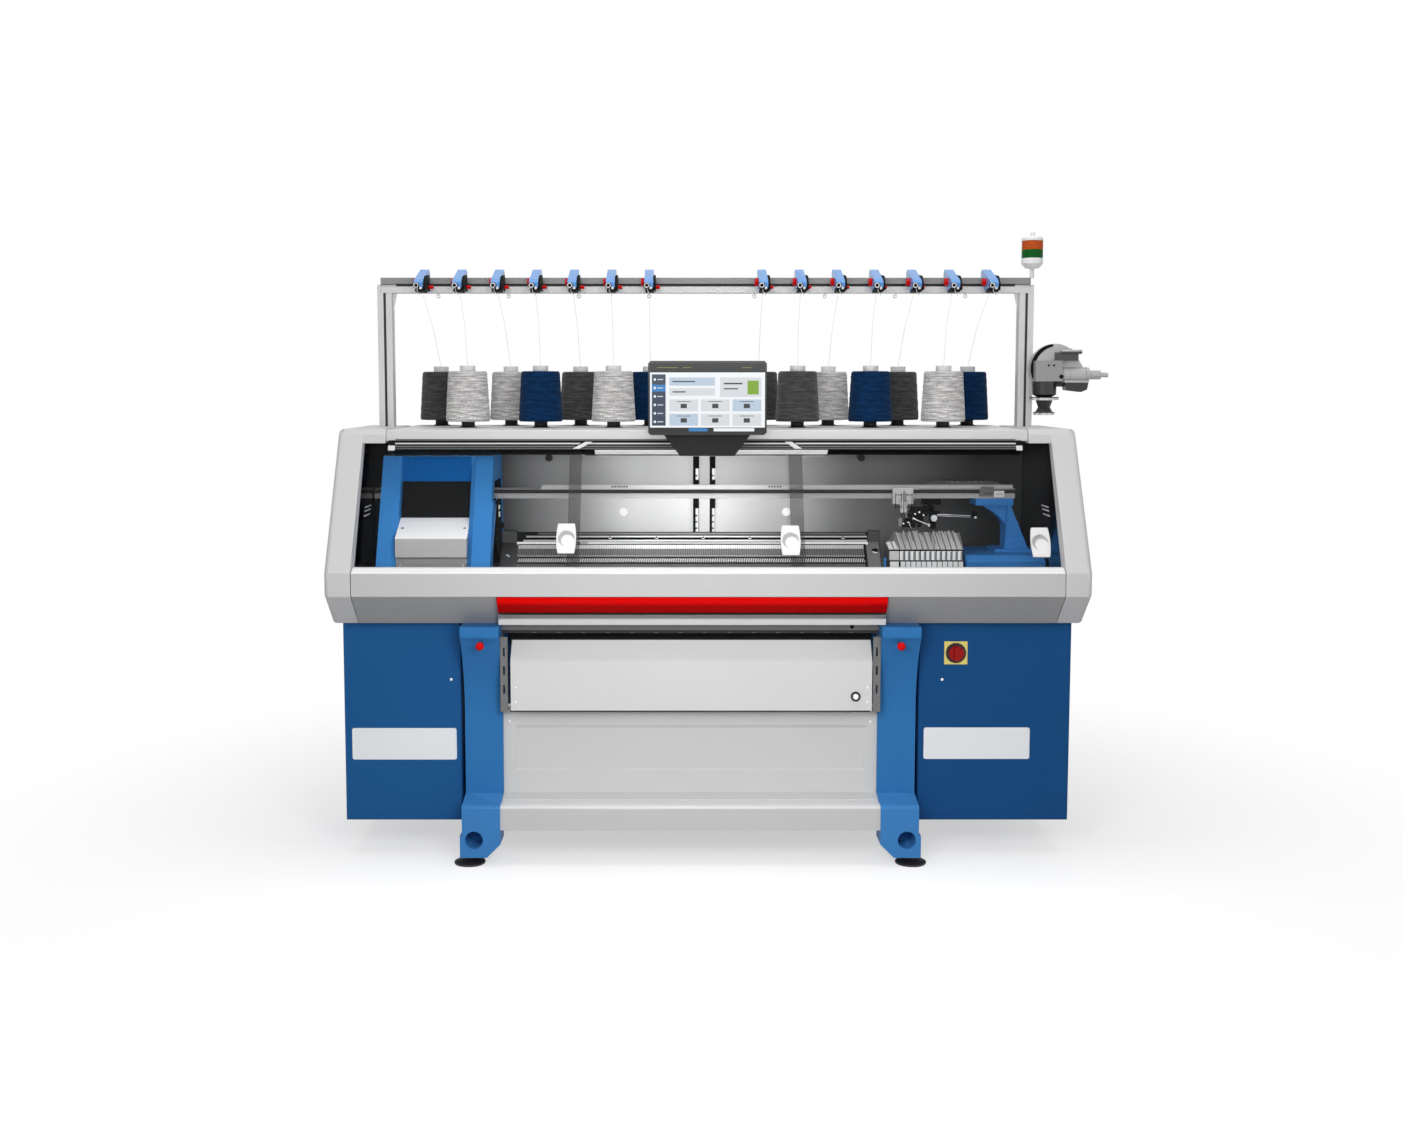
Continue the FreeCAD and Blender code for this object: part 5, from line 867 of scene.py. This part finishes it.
lead = Shape()
for x0, x1 in ((626, 655), (661, 690)):
    lead.boxes(*[(a, b, 343.2, 344.0, z0, z1, 0) for a, b, z0, z1 in (
        (x0 + 3, x1 - 2, 1126, 1128.2), (x0 + 3, x1 - 2, 1166, 1168.2),
        (x0 + 3, x0 + 5, 1120, 1172), (x1 - 6, x1 - 4, 1120, 1172))])
lead.boxes((656.8, 659.4, 343.0, 344.0, 1108, 1180, 0), (664, 668, 340.0, 344.0, 1080, 1112, 1),
           (640, 652, 336.0, 342.0, 1062, 1090, 1))
lead.prism([(668, 1098), (684, 1128), (738, 1132), (744, 1108), (722, 1092), (716, 1076), (690, 1080)],
           "y", 331.0, 342.0, 0)
lead.prism([(648, 1062), (664, 1090), (690, 1096), (700, 1078), (692, 1058)], "y", 334.0, 343.0, 0)
lead.prism([(700, 1086), (716, 1096), (724, 1084), (712, 1060), (704, 1060)], "y", 330.0, 338.0, 0)
for x, z in ((694, 1104), (708, 1110), (722, 1100), (688, 1088), (656, 1072), (672, 1076)):
    lead.lathe([(3.4, 0), (3.4, -2), (2.2, -2.6), (0.02, -2.6)], (x, 331.5, z), "y", 12, 2)
lead.tube([(686, 329.5, 1092), (700, 329.5, 1084), (738, 329.5, 1068)], 3.0, 10, 2)
lead.lathe([(5.0, -3), (5.4, 0), (5.0, 3)], (740, 329.5, 1067), "x", 12, 3)
lead.tube([(676, 333, 1074), (678, 331, 1062), (684, 330, 1056)], 1.0, 6, 2)
lead.make("carrier_1_feeder", "carrier_1", [matt_black, grey, chrome, plate_white], "black_plastic", 0.4)

second = Shape()
second.lathe([(10.5, 0), (11.5, -2), (11.5, -4), (9.5, -6), (0.02, -6.4)], (762, 362, 1088), "y", 22, 0)
second.lathe([(13.0, 1.5), (13.0, 3), (4.0, 3)], (762, 358, 1088), "y", 22, 1)
second.tube([(772, 357.5, 1101), (820, 357.5, 1099), (886, 357.5, 1096)], 1.5, 8, 2)
second.tube([(772, 358.5, 1096), (820, 358.5, 1094), (886, 358.5, 1091)], 1.1, 8, 2)
second.prism([(884, 1094), (902, 1090), (908, 1108), (892, 1114)], "y", 354.0, 361.0, 1)
second.boxes((896, 903, 353.0, 354.1, 1088.0, 1094.0, 0))
second.prism([(744, 1080), (752, 1112), (782, 1112), (776, 1078)], "y", 360.0, 362.0, 1)
second.make("carrier_2_feeder", "carrier_2", [plate_white, matt_black, chrome], "black_plastic", 0.3)

trim = Shape()
HOUSING_X, HOUSING_Z, HOUSING_R = 1191, 1588, 83.6
for k in range(24):
    inner = HOUSING_R - 9.0 - 5.0 * math.sin(math.radians(7.5 * k))
    arc = [(r, math.radians(96 + 5.0 * n))
           for r, n in ((HOUSING_R, k), (HOUSING_R, k + 1), (inner, k + 1), (inner, k))]
    trim.prism([(HOUSING_X + r * math.cos(a), HOUSING_Z + r * math.sin(a)) for r, a in arc],
               "y", 498.2, 499.8, 0)
for x in (1214, 1236, 1292):
    trim.lathe([(26.6, -0.8), (26.6, 0.8)], (x, 496, 1566), "x", 24, 1)
trim.lathe([(7.0, 0), (7.0, -1.4), (5.4, -2.0), (0.02, -2.0)], (1204, 461.6, 1560), "y", 16, 0)
for x in (1160, 1178):
    trim.lathe([(3.6, 0), (3.6, -1.4), (0.02, -1.6)], (x, 461.6, 1598), "y", 12, 0)
trim.make("feeder_trim", "base", [matt_black, middle_grey], "black_plastic", 0.2)

noses = Shape()
UNIT_GAP = 128.8
unit_x = sorted(side * (193.0 + UNIT_GAP * k) for side in (-1, 1) for k in range(7))
for x in unit_x:        # a ringed eye in front of each unit, its arm and wire guides
    noses.lathe([(10.0, 4), (10.4, -4), (9.4, -6), (6.6, -6), (6.2, -3), (3.2, -3), (2.8, -6.5),
                 (0.02, -6.5)], (x - 7, 437, 1864.5), "y", 20, 1)
    noses.lathe([(8.8, -5.9), (8.8, -6.8), (5.6, -6.8), (5.6, -5.9)], (x - 7, 437, 1864.5), "y", 20, 0)
    noses.boxes((x - 12, x + 15.6, 441.0, 520.0, 1844.0, 1853.0, 1))
    noses.prism([(446, 1850), (446, 1872), (470, 1898), (530, 1906), (536, 1850)], "x", x + 15.2, x + 23.0, 1)
    noses.prism([(440, 1850), (440, 1864), (452, 1864), (452, 1850)], "x", x + 2.0, x + 15.3, 1)
    noses.lathe([(5.0, 0), (5.0, -2.6), (3.0, -3.2), (0.02, -3.2)], (x + 7, 440, 1856), "y", 14, 0)
    noses.tube([(x - 4, 436, 1858), (x - 3, 434, 1845), (x + 3, 434, 1836), (x + 6, 436, 1832)], 1.1, 6, 0)
    noses.tube([(x + 2, 438, 1852), (x + 1, 436, 1840)], 1.0, 6, 1)
noses.make("unit_details", "base", [pale, matt_black], "dark_paint")

threads = Shape()       # from each package over a bend half way to its unit
for (x, y), ux in zip(sorted(front_cones + back_cones), unit_x):
    threads.tube([(x, y, CONE_Z1 + 16.0), (0.55 * x + 0.45 * ux, (y + 560) / 2, 1730), (ux, 505, 1852)],
                 0.45, 5, 0)
threads.make("yarn_threads", "base", [thread], "yarn_light")


# ---------------------------------------------------------------- floor, lights and camera
def shown(t):
    """1 for rays of the camera, also through panes or mirrored in gloss, and 0 for other light."""
    path = t.nodes.new("ShaderNodeLightPath").outputs
    seen = node(t, "Math", path["Is Camera Ray"], path["Is Transmission Ray"], operation="MAXIMUM")
    return node(t, "Math", seen, path["Is Glossy Ray"], operation="MAXIMUM")


floor_mat, ft, fb = blank("floor")
to_eye = shown(ft)
spot = node(ft, "NewGeometry", out="Position")
away = node(ft, "VectorMath", spot, operation="LENGTH", out="Value")
fade = node(ft, "MapRange", away, interpolation_type="SMOOTHSTEP", From_Min=1.2, From_Max=3.0)
fill(ft, fb, Roughness=0.9, Specular_IOR_Level=0.0, Emission_Color=scaled(1, 1),
     Base_Color=node(ft, "MixRGB", to_eye, scaled(0.42, 1), scaled(0.55, 1)),
     Emission_Strength=node(ft, "Math", to_eye, 0.55, operation="MULTIPLY"))
lit = node(ft, "Emission", scaled(1, 1), 1.0)
blend = node(ft, "MixShader", node(ft, "Math", fade, to_eye, operation="MULTIPLY"), fb.outputs["BSDF"], lit)
fill(ft, ft.nodes["Material Output"], Surface=blend)
ground = bpy.data.meshes.new("floor")
ground.from_pydata([(-30, -12, 0), (30, -12, 0), (30, 40, 0), (-30, 40, 0)], [], [(0, 1, 2, 3)])
ground.materials.append(floor_mat)
new_object("floor", ground)

world = bpy.data.worlds.new("studio")
bpy.context.scene.world = world
world.use_nodes = True
wt = world.node_tree
fill(wt, wt.nodes["Background"], Color=scaled(1, 1),
     Strength=node(wt, "MapRange", shown(wt), To_Min=0.30, To_Max=1.0))


def area(name, where, target, size, power, hidden=False):
    data = bpy.data.lights.new(name, "AREA")
    data.shape = "RECTANGLE"
    data.size, data.size_y = size
    data.energy = power
    obj = new_object(name, data)
    obj.location = where
    obj.rotation_euler = (Vector(target) - Vector(where)).to_track_quat("-Z", "Y").to_euler()
    obj.visible_camera = False
    obj.visible_glossy = not hidden


# Lamps and camera stand in metres of the model's frame.
area("key", (-0.14, -2.15, 1.15), (-0.14, 0.0, 0.95), (0.7, 0.5), 15, hidden=True)
area("front", (-0.1, -4.4, 2.6), (0, 0, 0.9), (3.4, 2.0), 56)
area("side_left", (-4.2, -2.6, 2.2), (0, 0, 1.0), (1.6, 2.0), 16)
area("side_right", (4.2, -2.6, 2.2), (0, 0, 1.0), (1.6, 2.0), 16)
area("top", (0.0, -0.6, 4.6), (0, 0.1, 1.2), (4.0, 2.4), 70)
area("inside", (-0.105, -0.124, 1.292), (-0.105, 0.207, 1.05), (0.42, 0.03), 0.5, hidden=True)
area("bed", (-0.12, -0.21, 1.12), (-0.12, 0.207, 1.035), (0.5, 0.06), 1.35, hidden=True)

# The camera was solved in pixels: the frame's size, the focal length and where the axis meets it.
WIDTH, HEIGHT, FOCAL = 1403.0, 1121.0, 1500.0
AXIS_X, AXIS_Y = 680.0, 514.5
TILT = 4.97                     # degrees below level
cam_data = bpy.data.cameras.new("camera")
cam_data.sensor_width = 36.0
cam_data.lens = FOCAL / WIDTH * cam_data.sensor_width
cam_data.shift_x = (WIDTH / 2 - AXIS_X) / WIDTH
cam_data.shift_y = (AXIS_Y - HEIGHT / 2) / WIDTH
cam_data.clip_end = 200.0
cam = new_object("camera", cam_data)
cam.location = (-0.173, -5.073, 1.535)
cam.rotation_euler = (math.radians(90 - TILT), 0, 0)
bpy.context.scene.camera = cam
bpy.context.scene.view_settings.view_transform = "Standard"
